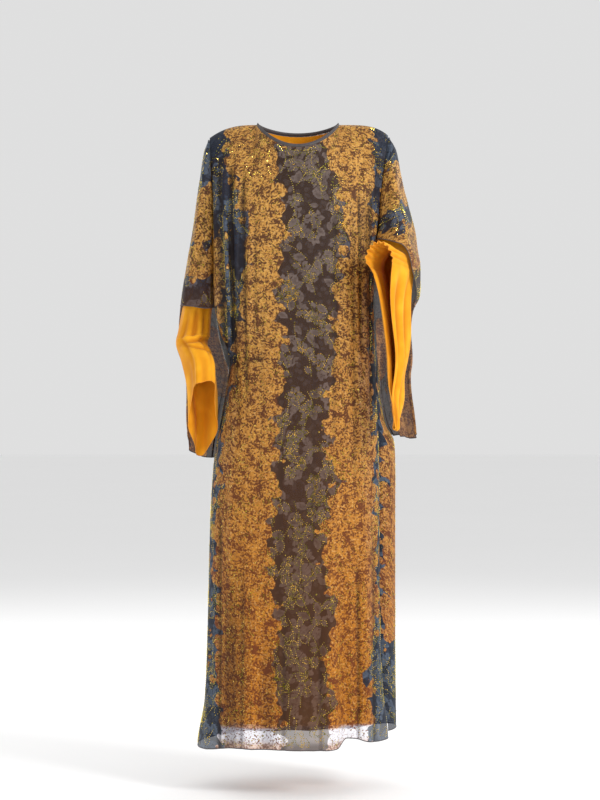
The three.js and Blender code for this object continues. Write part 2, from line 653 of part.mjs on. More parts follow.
// Rings of the right lining sleeve, from the armhole to the mouth. Each is given by its outer
// and inner points, its middle and half depth in y, and how much lower its rear hangs.
const LINING_SLEEVE_RIGHT = [
  { outX: -170.4, outZ: -46, inX: -170.4, inZ: -212, midY: 0, halfY: 42, rear: 0 },
  { outX: -194, outZ: -74, inX: -172.6, inZ: -216, midY: 0, halfY: 38, rear: 0 },
  { outX: -213, outZ: -106, inX: -173.4, inZ: -226, midY: 0, halfY: 40, rear: 0 },
  { outX: -223, outZ: -158, inX: -174.4, inZ: -250, midY: 0, halfY: 41.5, rear: 0 },
  { outX: -232, outZ: -220, inX: -176, inZ: -288, midY: 0, halfY: 41.5, rear: 0 },
  { outX: -245, outZ: -300, inX: -181, inZ: -332, midY: 0, halfY: 41.5, rear: 0 },
  { outX: -257, outZ: -372, inX: -191, inZ: -385, midY: 0, halfY: 42, rear: 0 },
  { outX: -265, outZ: -424, inX: -199, inZ: -430, midY: -5, halfY: 44, rear: 0 },
  { outX: -274, outZ: -474, inX: -201, inZ: -476, midY: -14, halfY: 45, rear: 4 },
  { outX: -279, outZ: -506, inX: -206, inZ: -508, midY: -26, halfY: 46, rear: 12 },
  { outX: -265, outZ: -548, inX: -194, inZ: -544, midY: -42, halfY: 48, rear: 30 },
  { outX: -250, outZ: -606, inX: -184, inZ: -598, midY: -56, halfY: 50, rear: 56 },
  { outX: -246, outZ: -684, inX: -184, inZ: -668, midY: -60, halfY: 50, rear: 84 },
];
// Rings of the left lining sleeve: the middle, the outward and the backward half axes down to
// the elbow, then along the raised forearm, where the rear half hangs far down as a tail.
const LINING_SLEEVE_LEFT = [
  { x: 170.4, y: 0, z: -128, sideX: 0, sideZ: 82, backY: 42, backZ: 0, tail: 0, pinch: 0, drift: 0 },
  { x: 183, y: 0, z: -141, sideX: 10, sideZ: 71, backY: 37, backZ: 0, tail: 0, pinch: 0, drift: 0 },
  { x: 196, y: 0, z: -164, sideX: 22, sideZ: 57, backY: 40, backZ: 0, tail: 0, pinch: 0, drift: 0 },
  { x: 205, y: 0, z: -206, sideX: 30, sideZ: 38, backY: 41, backZ: 0, tail: 0, pinch: 0, drift: 0 },
  { x: 214, y: -1, z: -256, sideX: 38, sideZ: 22, backY: 40, backZ: -6, tail: 0, pinch: 0, drift: 0 },
  { x: 228, y: -14, z: -306, sideX: 38, sideZ: 8, backY: 46, backZ: -26, tail: 10, pinch: 0, drift: 0 },
  { x: 232, y: -40, z: -334, sideX: 36, sideZ: 0, backY: 36, backZ: -44, tail: 50, pinch: 0.15, drift: 0 },
  { x: 229, y: -74, z: -343, sideX: 36, sideZ: 0, backY: 14, backZ: -48, tail: 130, pinch: 0.3, drift: 2 },
  { x: 222, y: -106, z: -343, sideX: 35, sideZ: 0, backY: 6, backZ: -48, tail: 220, pinch: 0.3, drift: 8 },
  { x: 208, y: -136, z: -340, sideX: 36, sideZ: 0, backY: 2, backZ: -48, tail: 290, pinch: 0.35, drift: 18 },
  { x: 192, y: -162, z: -334, sideX: 34, sideZ: 0, backY: 0, backZ: -48, tail: 318, pinch: 0.42, drift: 30 },
  { x: 180, y: -180, z: -328, sideX: 30, sideZ: 0, backY: 0, backZ: -46, tail: 322, pinch: 0.5, drift: 40 },
];
const LINING_SLEEVE_SIDES = 24;

const rightLiningRing = (row) =>
  Array.from({ length: LINING_SLEEVE_SIDES }, (_, i) => {
    const turn = (2 * Math.PI * i) / LINING_SLEEVE_SIDES;
    const [c, s] = [Math.cos(turn), Math.sin(turn)];
    return new THREE.Vector3(
      (row.outX + row.inX) / 2 + ((row.outX - row.inX) / 2) * c,
      row.midY + row.halfY * s,
      (row.outZ + row.inZ) / 2 + ((row.outZ - row.inZ) / 2) * c - row.rear * s,
    );
  });

const leftLiningRing = (row) =>
  Array.from({ length: LINING_SLEEVE_SIDES }, (_, i) => {
    const turn = (2 * Math.PI * i) / LINING_SLEEVE_SIDES;
    const [c, s] = [Math.cos(turn), Math.sin(turn)];
    const hang = Math.max(0, s);
    const full = mix(1, Math.pow(Math.abs(c) + 0.01, -0.3), row.pinch > 0 ? hang : 0);
    const narrowed = c * full * (1 - row.pinch * hang);
    return new THREE.Vector3(
      row.x + row.sideX * narrowed + row.drift * hang,
      row.y + row.backY * s,
      row.z + row.sideZ * c + row.backZ * s - row.tail * hang * hang,
    );
  });

// The neck binding: a narrow band standing on the neckline's edge.
function neckBindingRings() {
  const steps = 40;
  return Array.from({ length: steps }, (_, i) => {
    const turn = (2 * Math.PI * i) / steps;
    const [c, s] = [Math.cos(turn), Math.sin(turn)];
    const neck = s < 0 ? FRONT_NECK : BACK_NECK;
    const lean = Math.abs(s);
    const edge = new THREE.Vector3(
      -NECK_HALF_WIDTH * c,
      s * neck.depth,
      -neck.drop * Math.pow(lean, 1.5),
    );
    const away = new THREE.Vector3(-c, s, 0).normalize();
    const base = edge.clone().addScaledVector(away, -0.2);
    base.z += 0.9;
    const inside = away.clone().multiplyScalar(-NECK_BINDING.wall);
    const rise = new THREE.Vector3(-away.x * 0.35, -away.y * 0.35, 1).normalize();
    const lift = rise.multiplyScalar(NECK_BINDING.height);
    return [
      base.clone(),
      base.clone().add(lift),
      base.clone().add(lift).add(inside),
      base.clone().add(inside),
    ];
  });
}

// Joins closed quads of points round a loop into one ring-shaped solid.
function bandFromFrames(frames) {
  const positions = [];
  const count = frames.length;
  const sides = frames[0].length;
  for (let i = 0; i < count; i += 1) {
    const [a, b] = [frames[i], frames[(i + 1) % count]];
    for (let k = 0; k < sides; k += 1) {
      const m = (k + 1) % sides;
      [a[k], b[k], b[m], a[k], b[m], a[m]].forEach((p) => positions.push(p.x, p.y, p.z));
    }
  }
  return closedGeometry(positions);
}

const frontHung = hemmed(frontLevel, HEM_LINE_FRONT);
const backHung = hemmed(backLevel, HEM_LINE_BACK);
const frontGrid = bodyGrid(FRONT_COLUMNS, frontYoke, frontHung, BODY_LEVELS);
const backGrid = bodyGrid(BACK_COLUMNS, backYoke, backHung, BODY_LEVELS);
const wing = {
  right: (low, edge, face, columns, rows, waves) =>
    sleeveGrid(SLEEVE_RIGHT, SLEEVE_TOP.right, low, edge, face, columns, rows, waves),
  left: (low, edge, face, columns, rows, waves) =>
    sleeveGrid(SLEEVE_LEFT, SLEEVE_TOP.left, low, edge, face, columns, rows, waves),
};
const wingFrontRight = wing.right(CUFF_RIGHT, frontEdgeRight, -1, 12, 12, NO_WAVES);
const wingFrontLeft = wing.left(CUFF_LEFT, frontEdgeLeft, -1, 14, 12, NO_WAVES);
const wingBackRight = wing.right(FLAP_RIGHT, backEdgeRight, 1, 14, 18, flapWaves(2, 9, -440));
const wingBackLeft = wing.left(FLAP_LEFT, backEdgeLeft, 1, 14, 17, flapWaves(2, 9, -440));

const group = new THREE.Group();
function add(name, geometry, color, roughness) {
  const material = new THREE.MeshStandardMaterial({ color, roughness, metalness: 0 });
  const mesh = new THREE.Mesh(geometry, material);
  mesh.name = name;
  group.add(mesh);
}

add("front", wallFromGrid(frontGrid, SHEER_WALL, -1, ownFront), COLOURS.shell, 0.7);
add("back", wallFromGrid(backGrid, SHEER_WALL, 1, ownBack), COLOURS.shell, 0.7);
add("sleeve_front_right", wallFromGrid(wingFrontRight, SHEER_WALL, 1), COLOURS.shell, 0.7);
add("sleeve_front_left", wallFromGrid(wingFrontLeft, SHEER_WALL, -1), COLOURS.shell, 0.7);
add("sleeve_back_right", wallFromGrid(wingBackRight, SHEER_WALL, -1), COLOURS.shell, 0.7);
add("sleeve_back_left", wallFromGrid(wingBackLeft, SHEER_WALL, 1), COLOURS.shell, 0.7);
add("neck_binding", bandFromFrames(neckBindingRings()), COLOURS.trim, 0.6);
add("lining_front", wallFromGrid(liningGrid(-1, FRONT_NECK), LINING_WALL, -1, ownFront), COLOURS.lining, 0.8);
add("lining_back", wallFromGrid(liningGrid(1, BACK_NECK), LINING_WALL, 1, ownBack), COLOURS.lining, 0.8);
add(
  "lining_sleeve_right",
  wallFromRings(LINING_SLEEVE_RIGHT.map(rightLiningRing), LINING_WALL),
  COLOURS.lining,
  0.8,
);
add(
  "lining_sleeve_left",
  wallFromRings(LINING_SLEEVE_LEFT.map(leftLiningRing), LINING_WALL),
  COLOURS.lining,
  0.8,
);

export default group;
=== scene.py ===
"""Dresses the worn butterfly abaya.

The shell is sheer georgette, printed in bands and set with small stones. Under it hangs a plain
orange chiffon lining with its own wide sleeves. Surfaces are worked out in millimetres, in the
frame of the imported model: +Z up, the front faces -Y, the wearer's right side is at -X.
"""

import logging
import math
from dataclasses import dataclass, field
from enum import Enum
from typing import Sequence

import bmesh
import bpy
import numpy as np
from mathutils import Matrix, Vector


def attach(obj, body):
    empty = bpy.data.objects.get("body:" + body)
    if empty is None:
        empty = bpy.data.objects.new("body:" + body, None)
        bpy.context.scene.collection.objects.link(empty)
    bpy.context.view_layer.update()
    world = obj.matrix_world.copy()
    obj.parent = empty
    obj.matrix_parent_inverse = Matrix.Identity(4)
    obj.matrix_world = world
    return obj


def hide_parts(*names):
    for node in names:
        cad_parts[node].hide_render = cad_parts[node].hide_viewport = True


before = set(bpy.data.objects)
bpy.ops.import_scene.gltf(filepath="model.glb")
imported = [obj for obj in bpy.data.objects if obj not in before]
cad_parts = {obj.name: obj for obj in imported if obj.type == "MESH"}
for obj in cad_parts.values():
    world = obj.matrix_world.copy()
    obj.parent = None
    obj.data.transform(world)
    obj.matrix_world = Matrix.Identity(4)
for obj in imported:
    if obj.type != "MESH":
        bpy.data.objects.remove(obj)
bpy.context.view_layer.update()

LOG = logging.getLogger("abaya")
MM = 0.001
Array = np.ndarray


class Layer(Enum):
    """Which layer of the garment a piece belongs to, by the record's material slot."""

    SHELL = "shell"
    LINING = "lining"
    BINDING = "binding"


class Face(Enum):
    """Which way a panel faces: the sign of its outward Y."""

    FRONT = -1
    BACK = 1

    @property
    def word(self) -> str:
        """The face's name, as the names of pieces say it."""
        return self.name.lower()


def mix(a: Array | float, b: Array | float, t: Array | float) -> Array | float:
    """The value t of the way from a to b."""
    return a + (b - a) * t


def smooth(t: Array | float) -> Array:
    """A soft step from 0 to 1 as t goes from 0 to 1."""
    c = np.clip(t, 0.0, 1.0)
    return c * c * (3 - 2 * c)


def hermite(p0: Array, m0: Array, p1: Array, m1: Array, t: Array) -> Array:
    """The cubic from p0 to p1 with end slopes m0 and m1, at t."""
    t2, t3 = t * t, t * t * t
    near, far = 2 * t3 - 3 * t2 + 1, 3 * t2 - 2 * t3
    return near * p0 + (t3 - 2 * t2 + t) * m0 + far * p1 + (t3 - t2) * m1


class Table:
    """Rows of named columns, in falling order of the first, read smoothly between rows."""

    def __init__(self, columns: str, rows: Sequence[Sequence[float]]) -> None:
        """Keeps the rows as arrays, by column name.

        Args:
            columns: The column names, parted by spaces; the first is the key.
            rows: The values, with the key falling from row to row.
        """
        names = columns.split()
        values = np.array(rows, dtype=float)
        self.key = -values[:, 0]
        self.columns = {name: values[:, i] for i, name in enumerate(names)}

    def at(self, name: str, key: Array) -> Array:
        """The smooth value of a column.

        Args:
            name: The column.
            key: Where to read it, in the key column's terms.

        Returns:
            The value at each key, level past the ends.
        """
        x = np.clip(-np.asarray(key, dtype=float), self.key[0], self.key[-1])
        v = self.columns[name]
        slope = np.zeros_like(v)
        slope[1:-1] = (v[2:] - v[:-2]) / (self.key[2:] - self.key[:-2])
        i = np.clip(np.searchsorted(self.key, x, side="right") - 1, 0, len(v) - 2)
        span = self.key[i + 1] - self.key[i]
        t = (x - self.key[i]) / span
        return hermite(v[i], span * slope[i], v[i + 1], span * slope[i + 1], t)


# The garment's own sizes, in millimetres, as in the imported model.
NECK_HALF_WIDTH = 95.0
BUST_LEVEL = -230.0
HEM_LEVEL = -1414.0
LINING_HEM_LEVEL = -1366.0
SEAM_GAP = 0.1
VALLEY_GAP = 0.25
SHOULDER_RIGHT = {"end": -203.0, "drop": 30.0, "slope": 2.7}
SHOULDER_LEFT = {"end": 207.0, "drop": 24.0, "slope": 4.0}
NECK = {Face.FRONT: (98.0, 62.0), Face.BACK: (88.0, 16.0)}  # depth and drop

FRONT_SECTIONS = Table(
    "z rx ry lx ly bulge step",
    [
        (-230, -193.5, -44, 183, -44, -138, 0),
        (-300, -192.5, -44, 176, -44, -142, 0),
        (-419, -190, -46, 172, -44, -141, 0),
        (-480, -176, -42, 173, -46, -139, 0),
        (-535, -156, -14, 175, -46, -138, 0),
        (-585, -161, 10, 177, -44, -138, 0),
        (-632, -169, 14, 179, -42, -138, 0),
        (-700, -181, 10, 182, -38, -138, 0),
        (-787, -194, 0, 185, -32, -139, 0),
        (-900, -201, 0, 186, -30, -140, 4),
        (-1050, -205, 0, 186, -30, -142, 12),
        (-1200, -208, 0, 189, -30, -145, 26),
        (-1320, -215, 0, 196, -28, -149, 38),
        (-1414, -230, 0, 206, -24, -153, 46),
    ],
)
BACK_SECTIONS = Table(
    "z rx ry outX outY turnX turnY bulge joined",
    [
        (-230, -193.5, 44, 184, 54, 1, 10, 118, 0),
        (-300, -192.5, 44, 179, 47, 1, 10, 122, 0),
        (-419, -190, 42, 178, 40, 1, 10, 121, 0),
        (-480, -184, 38, 181, 38, 1, 10, 120, 0),
        (-535, -170, 26, 184, 38, 1, 12, 119, 0),
        (-585, -162, 16, 187, 36, 3, 40, 119, 1),
        (-632, -172, 16, 190, 35, 4, 60, 120, 1),
        (-690, -183, 12, 203, 34, 8, 60, 122, 1),
        (-725, -187, 8, 221, 32, 8, 60, 123, 1),
        (-787, -198, 1, 225, 30, 34, 56, 125, 1),
        (-900, -203, 1, 225, 30, 37, 55, 129, 1),
        (-1050, -206, 1, 225, 30, 37, 55, 134, 1),
        (-1200, -208, 1, 225, 30, 34, 55, 139, 1),
        (-1320, -215, 1, 226, 30, 28, 53, 144, 1),
        (-1414, -230, 1, 227, 30, 19, 49, 150, 1),
    ],
)
HEM_LINE = {
    Face.FRONT: Table(
        "x rise", [(206, 10), (170, 8), (110, 19), (88, 2), (0, 0), (-150, 0), (-230, -8)]
    ),
    Face.BACK: Table("x rise", [(230, 28), (200, 24), (120, 8), (0, 0), (-150, 0), (-230, -8)]),
}
HEM_RISE_FROM = -1160.0


@dataclass(frozen=True)
class Fold:
    """A vertical ridge (depth over 0) or trough (under 0) of the cloth, in millimetres.

    It grows from the level start to full and fades from fade to end, which are below the hem
    where none are given.
    """

    top_x: float
    low_x: float
    start: float
    full: float
    width: float
    depth: float
    fade: float = -1500
    end: float = -1600

    def height(self, x: Array, z: Array) -> Array:
        """How far this fold pushes the cloth out at x and z."""
        grown = smooth((self.start - z) / (self.start - self.full))
        left = 1 - smooth((self.fade - z) / (self.fade - self.end))
        along = np.clip((-150 - z) / (-150 - self.end), 0, 1)
        centre = mix(self.top_x, self.low_x, along)
        return self.depth * grown * left * np.exp(-(((x - centre) / self.width) ** 2))


MAIN_FOLDS = {
    Face.FRONT: [
        Fold(-186, -160, -150, -260, 9, -9, -520, -590),
        Fold(-172, -150, -170, -280, 8, 8, -520, -600),
        Fold(-160, -142, -150, -300, 8, -9, -540, -640),
        Fold(-130, -138, -160, -330, 9, -7, -600, -760),
        Fold(152, 158, -130, -230, 12, -8, -420, -560),
        Fold(60, 74, -900, -1250, 20, 9),
        Fold(-150, -152, -850, -1250, 22, -10),
        Fold(-60, -70, -950, -1350, 26, -7),
        Fold(-6, 6, -950, -1350, 24, 6),
        Fold(146, 158, -760, -1100, 16, 9),
    ],
    Face.BACK: [
        Fold(-150, -168, -200, -700, 20, -11),
        Fold(-104, -122, -300, -800, 22, 10),
        Fold(-62, -72, -240, -800, 20, -12),
        Fold(-18, -22, -360, -900, 20, 9),
        Fold(24, 30, -260, -850, 20, -12),
        Fold(66, 82, -340, -800, 22, 10),
        Fold(112, 134, -220, -700, 20, -11),
    ],
}
# Finer folds, which only this dressed model has.
SMALL_FOLDS = {
    Face.FRONT: [
        Fold(-178, -160, -60, -140, 4.5, -5.5, -470, -560),
        Fold(-166, -150, -50, -130, 4.0, 4.6, -500, -600),
        Fold(-152, -142, -70, -160, 4.5, -5.0, -430, -560),
        Fold(-140, -130, -60, -150, 4.0, 4.0, -520, -640),
        Fold(-124, -116, -70, -170, 5.0, -4.6, -560, -700),
        Fold(-110, -108, -90, -200, 4.5, 2.4, -380, -520),
        Fold(-96, -98, -120, -260, 5.0, -2.4, -460, -640),
        Fold(-78, -86, -320, -480, 8, -1.8, -820, -980),
        Fold(-30, -46, -480, -640, 10, -1.6, -1040, -1220),
        Fold(44, 30, -300, -520, 9, -1.6, -900, -1080),
        Fold(84, 80, -120, -260, 6, -2.6, -640, -840),
        Fold(108, 104, -160, -300, 6, 2.0, -700, -860),
        Fold(124, 130, -140, -300, 6, -2.8, -760, -900),
        Fold(138, 146, -60, -190, 4.5, -4.2, -460, -620),
        Fold(150, 156, -60, -170, 4, 3.2, -560, -700),
        Fold(164, 166, -90, -200, 4.5, -3.6, -620, -780),
        Fold(-176, -178, -820, -960, 6, -4.2),
        Fold(-150, -156, -640, -800, 6, 2.6, -1200, -1400),
        Fold(-120, -128, -900, -1100, 7, -3.4),
        Fold(-96, -104, -1000, -1200, 6, 3.0),
        Fold(-24, -34, -1020, -1240, 7, -2.8),
        Fold(22, 34, -1020, -1220, 7, 2.6),
        Fold(44, 52, -1060, -1240, 6, -2.6),
        Fold(112, 120, -960, -1150, 6, 3.4),
        Fold(128, 138, -880, -1100, 5, -3.4),
        Fold(168, 176, -860, -1000, 6, -3.2),
        Fold(-196, -206, -980, -1200, 6, 3.0),
    ],
    Face.BACK: [
        Fold(-176, -186, -180, -420, 7, -3.6, -900, -1200),
        Fold(-160, -176, -260, -520, 7, 3.0, -1300, -1500),
        Fold(-128, -142, -420, -700, 7, -3.6),
        Fold(-84, -98, -160, -400, 7, 3.2, -900, -1200),
        Fold(-70, -80, -120, -300, 6, -3.0, -700, -900),
        Fold(-40, -48, -420, -760, 7, -3.2),
        Fold(4, 6, -140, -360, 8, 2.8, -860, -1150),
        Fold(18, 22, -100, -260, 6, -2.6, -620, -900),
        Fold(46, 56, -500, -820, 7, 3.0),
        Fold(74, 86, -200, -420, 6, -3.2, -860, -1100),
        Fold(90, 106, -160, -420, 7, 3.0, -940, -1200),
        Fold(146, 172, -300, -600, 8, -3.6),
    ],
}


@dataclass(frozen=True)
class Crease:
    """A soft crease from one place to another, in x and z as seen from the panel's side."""

    x0: float
    z0: float
    x1: float
    z1: float
    width: float
    depth: float

    def height(self, x: Array, z: Array) -> Array:
        """How far this crease pushes the cloth out at x and z."""
        dx, dz = self.x1 - self.x0, self.z1 - self.z0
        length = math.hypot(dx, dz)
        along = ((x - self.x0) * dx + (z - self.z0) * dz) / length**2
        across = ((x - self.x0) * dz - (z - self.z0) * dx) / length
        ends = smooth((along + 0.15) / 0.35) * smooth((1.15 - along) / 0.35)
        bow = across + 0.06 * length * np.sin(math.pi * np.clip(along, 0, 1))
        return self.depth * ends * np.exp(-((bow / self.width) ** 2))


CREASES = {
    Face.FRONT: [
        Crease(-52, -78, 48, -74, 4.5, 2.2),
        Crease(-44, -90, 60, -88, 4, -2.0),
        Crease(-34, -101, 52, -103, 5, 1.9),
        Crease(-60, -116, 30, -122, 6, -1.5),
        Crease(-96, -24, -40, -84, 7, -2.4),
        Crease(98, -22, 58, -80, 7, -2.4),
        Crease(-160, -52, -96, -150, 9, 2.6),
        Crease(-180, -70, -128, -230, 8, -2.6),
        Crease(170, -44, 128, -170, 9, 2.6),
        Crease(186, -70, 158, -220, 8, -3.0),
        Crease(-170, -540, -96, -480, 8, 2.4),
        Crease(-164, -566, -80, -540, 8, -2.2),
        Crease(170, -560, 110, -500, 9, 1.8),
        Crease(-60, -700, 30, -736, 12, 1.3),
        Crease(-20, -890, 90, -860, 12, -1.3),
    ],
    Face.BACK: [
        Crease(-150, -40, -60, -110, 10, 2.6),
        Crease(150, -38, 62, -110, 10, 2.6),
        Crease(-120, -110, -20, -150, 10, -2.2),
        Crease(116, -112, 26, -150, 10, -2.2),
        Crease(-170, -560, -90, -500, 9, 2.2),
        Crease(172, -600, 92, -520, 9, 2.2),
    ],
}


def step_back(x: Array, z: Array) -> Array:
    """The step beside the big fold that opens towards the front hem."""
    depth = FRONT_SECTIONS.at("step", z)
    at = mix(84.0, 97.0, (-780 - z) / (-780 - HEM_LEVEL))
    return depth * smooth((x - at + 11) / 22)


def shoulder_height(x: Array) -> Array:
    """The shoulder seam's level at x."""
    end = np.where(x < 0, SHOULDER_RIGHT["end"], SHOULDER_LEFT["end"])
    drop = np.where(x < 0, SHOULDER_RIGHT["drop"], SHOULDER_LEFT["drop"])
    slope = np.where(x < 0, SHOULDER_RIGHT["slope"], SHOULDER_LEFT["slope"])
    t = (np.abs(x) - NECK_HALF_WIDTH) / (np.abs(end) - NECK_HALF_WIDTH)
    return -drop * np.clip(t, 0, 1) ** slope


@dataclass(frozen=True)
class BodyShape:
    """The surface of the front or back panel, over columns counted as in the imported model."""

    face: Face
    columns: float
    neck_from: float = 10.0
    neck_to: float = 22.0
    main_columns: float = 32.0
    power: float = 0.72
    end_pull: float = 190.0
    # how far the cloth first runs outwards and down: at the neck points, at the ends of the
    # shoulders and in the middle of the neckline
    leave_out: tuple[float, float, float] = (150, 118, 42)
    leave_down: tuple[float, float, float] = (28, 62, 130)

    def level(self, column: Array, z: Array) -> Array:
        """Points of the level section at z, below the yoke."""
        if self.face is Face.FRONT:
            table, last_x, last_y = FRONT_SECTIONS, "lx", "ly"
            joined = np.zeros_like(z)
        else:
            table, last_x, last_y = BACK_SECTIONS, "outX", "outY"
            joined = np.clip(table.at("joined", z), 0, 1)
        turn = math.pi * np.clip(column / self.main_columns, 0, 1)
        sine = np.maximum(np.sin(turn), 0)
        share = (1 - np.cos(turn)) / 2
        seam_x = FRONT_SECTIONS.at("rx", z)
        seam_y = FRONT_SECTIONS.at("ry", z) + SEAM_GAP
        x = mix(mix(table.at("rx", z), seam_x, joined), table.at(last_x, z), share)
        edge = mix(mix(table.at("ry", z), seam_y, joined), table.at(last_y, z), share)
        out = sine**self.power
        freed = smooth(sine * 3.2)
        push = sum(f.height(x, z) for f in MAIN_FOLDS[self.face])
        y = mix(edge, table.at("bulge", z), out) + self.face.value * push * freed
        if self.face is Face.FRONT:
            y = y + step_back(x, z) * out
        else:
            past = np.clip(column - self.main_columns, 0, None)
            angle = past / (self.columns - self.main_columns) * math.pi / 2
            left_x = FRONT_SECTIONS.at("lx", z) + SEAM_GAP
            left_y = FRONT_SECTIONS.at("ly", z) + SEAM_GAP
            end_x = mix(table.at("outX", z) - table.at("turnX", z), left_x, joined)
            end_y = mix(table.at("outY", z) - table.at("turnY", z), left_y, joined)
            turned = column > self.main_columns
            x = np.where(turned, mix(table.at("outX", z), end_x, 1 - np.cos(angle)), x)
            y = np.where(turned, mix(table.at("outY", z), end_y, np.sin(angle)), y)
        return np.stack([x, y, z], axis=-1)

    def top(self, column: Array) -> tuple[Array, Array]:
        """The top edge's points, along shoulder and neckline, and how the cloth leaves them."""
        depth, drop = NECK[self.face]
        sign = self.face.value
        right = mix(SHOULDER_RIGHT["end"], -NECK_HALF_WIDTH, column / self.neck_from)
        beyond = (column - self.neck_to) / (self.columns - self.neck_to)
        left = mix(NECK_HALF_WIDTH, SHOULDER_LEFT["end"], beyond)
        along = (column - self.neck_from) / (self.neck_to - self.neck_from)
        turn = math.pi * np.clip(along, 0, 1)
        in_neck = (column > self.neck_from) & (column < self.neck_to)
        lean = np.where(in_neck, np.sin(turn), 0.0)
        x = np.where(column <= self.neck_from, right, left)
        x = np.where(in_neck, -NECK_HALF_WIDTH * np.cos(turn), x)
        y = np.where(in_neck, sign * depth * lean, sign * SEAM_GAP / 2)
        z = np.where(in_neck, -drop * lean**1.5, shoulder_height(x))
        outer = np.clip((np.abs(x) - NECK_HALF_WIDTH) / 110, 0, 1)
        run_out, run_down = (
            mix(mix(point, end, outer), middle, lean)
            for point, end, middle in (self.leave_out, self.leave_down)
        )
        leave = np.stack([np.zeros_like(x), sign * run_out, -run_down], axis=-1)
        return np.stack([x, y, z], axis=-1), leave

    def yoke(self, column: Array, t: Array) -> Array:
        """Points between the top edge, t = 0, and the bust level, t = 1."""
        top, leave = self.top(column)
        end = self.level(column, np.full_like(column, BUST_LEVEL))
        below = self.level(column, np.full_like(column, BUST_LEVEL - 20))
        fall = (below - end) * (self.end_pull / 20)
        return hermite(top, leave, end, fall, t[..., None])

    def grid(self, columns: int, yoke_rows: int, rows: int) -> Array:
        """The panel's points, row by row from the top edge to the hem.

        Args:
            columns: How many strips wide.
            yoke_rows: How many strips the yoke takes.
            rows: How many strips the rest takes.

        Returns:
            An array of rows, columns and x, y, z.
        """
        c = np.linspace(0, self.columns, columns + 1)
        yoke_c, t = np.meshgrid(c, np.linspace(0, 1, yoke_rows + 1))
        upper = self.yoke(yoke_c, t)
        z = np.linspace(BUST_LEVEL, HEM_LEVEL, rows + 1)[1:]
        low_c, low_z = np.meshgrid(c, z)
        lower = self.level(low_c, low_z)
        share = np.clip((HEM_RISE_FROM - low_z) / (HEM_RISE_FROM - HEM_LEVEL), 0, None)
        lower[..., 2] += HEM_LINE[self.face].at("rise", lower[..., 0]) * share**2
        return np.concatenate([upper, lower])

    def edge_at(self, column: float, z: Array) -> Array:
        """The point of one column at each level z, on the yoke or below it."""
        flat = np.asarray(z, dtype=float)
        full = np.full_like(flat, column)
        t = np.linspace(0, 1, 400)
        line = self.yoke(np.full_like(t, column), t)
        places = [np.interp(-flat, -line[:, 2], line[:, i]) for i in range(3)]
        on_yoke = np.stack(places, axis=-1)
        on_yoke[..., 2] = flat
        return np.where((flat > BUST_LEVEL)[..., None], on_yoke, self.level(full, flat))


FRONT_SHAPE = BodyShape(Face.FRONT, 32.0)
BACK_SHAPE = BodyShape(Face.BACK, 36.0)

OVERARM = {
    "right": Table(
        "z x y front back",
        [
            (-36, -207, 0, 14, 14),
            (-52, -212, 0, 30, 30),
            (-67, -216, 0, 40, 38),
            (-94, -221, 0, 52, 50),
            (-122, -225, 0, 60, 58),
            (-152, -230, 0, 64, 62),
            (-189, -235, 0, 68, 66),
            (-235, -241, 0, 70, 68),
            (-281, -249, 0, 72, 70),
            (-327, -257, 0, 72, 70),
            (-373, -265, 2, 72, 68),
            (-419, -271, 6, 72, 62),
            (-476, -275, 18, 70, 46),
            (-540, -266, 26, 66, 36),
            (-600, -259, 28, 60, 30),
            (-680, -258, 28, 60, 26),
            (-766, -251, 26, 60, 24),
        ],
    ),
    "left": Table(
        "z x y front back",
        [
            (-30, 211, 0, 12, 12),
            (-45, 219, 0, 26, 26),
            (-60, 226, 0, 36, 36),
            (-83, 231, 0, 46, 44),
            (-110, 235, 0, 58, 54),
            (-150, 243, 0, 70, 62),
            (-195, 255, 0, 88, 68),
            (-241, 267, 0, 116, 72),
            (-281, 274, 0, 142, 76),
            (-327, 280, 0, 160, 78),
            (-373, 281, 2, 166, 76),
            (-400, 278, 4, 166, 72),
            (-426, 266, 6, 164, 66),
            (-470, 261, 14, 160, 56),
            (-540, 265, 20, 160, 42),
            (-580, 260, 24, 160, 36),
            (-620, 261, 26, 160, 32),
            (-668, 267, 26, 160, 28),
            (-722, 272, 26, 160, 26),
        ],
    ),
}
WING_TOP = {"right": -36.0, "left": -30.0}
LOWER_EDGE = {
    ("right", Face.FRONT): Table("share z", [(1, -415), (0.6, -419), (0.3, -424), (0, -421)]),
    ("left", Face.FRONT): Table(
        "share z",
        [(1, -418), (0.84, -410), (0.7, -352), (0.58, -296), (0.42, -278), (0.2, -270), (0, -268)],
    ),
    ("right", Face.BACK): Table("share z", [(1, -706), (0.85, -746), (0.5, -762), (0, -764)]),
    ("left", Face.BACK): Table("share z", [(1, -708), (0.8, -720), (0.5, -718), (0, -712)]),
}


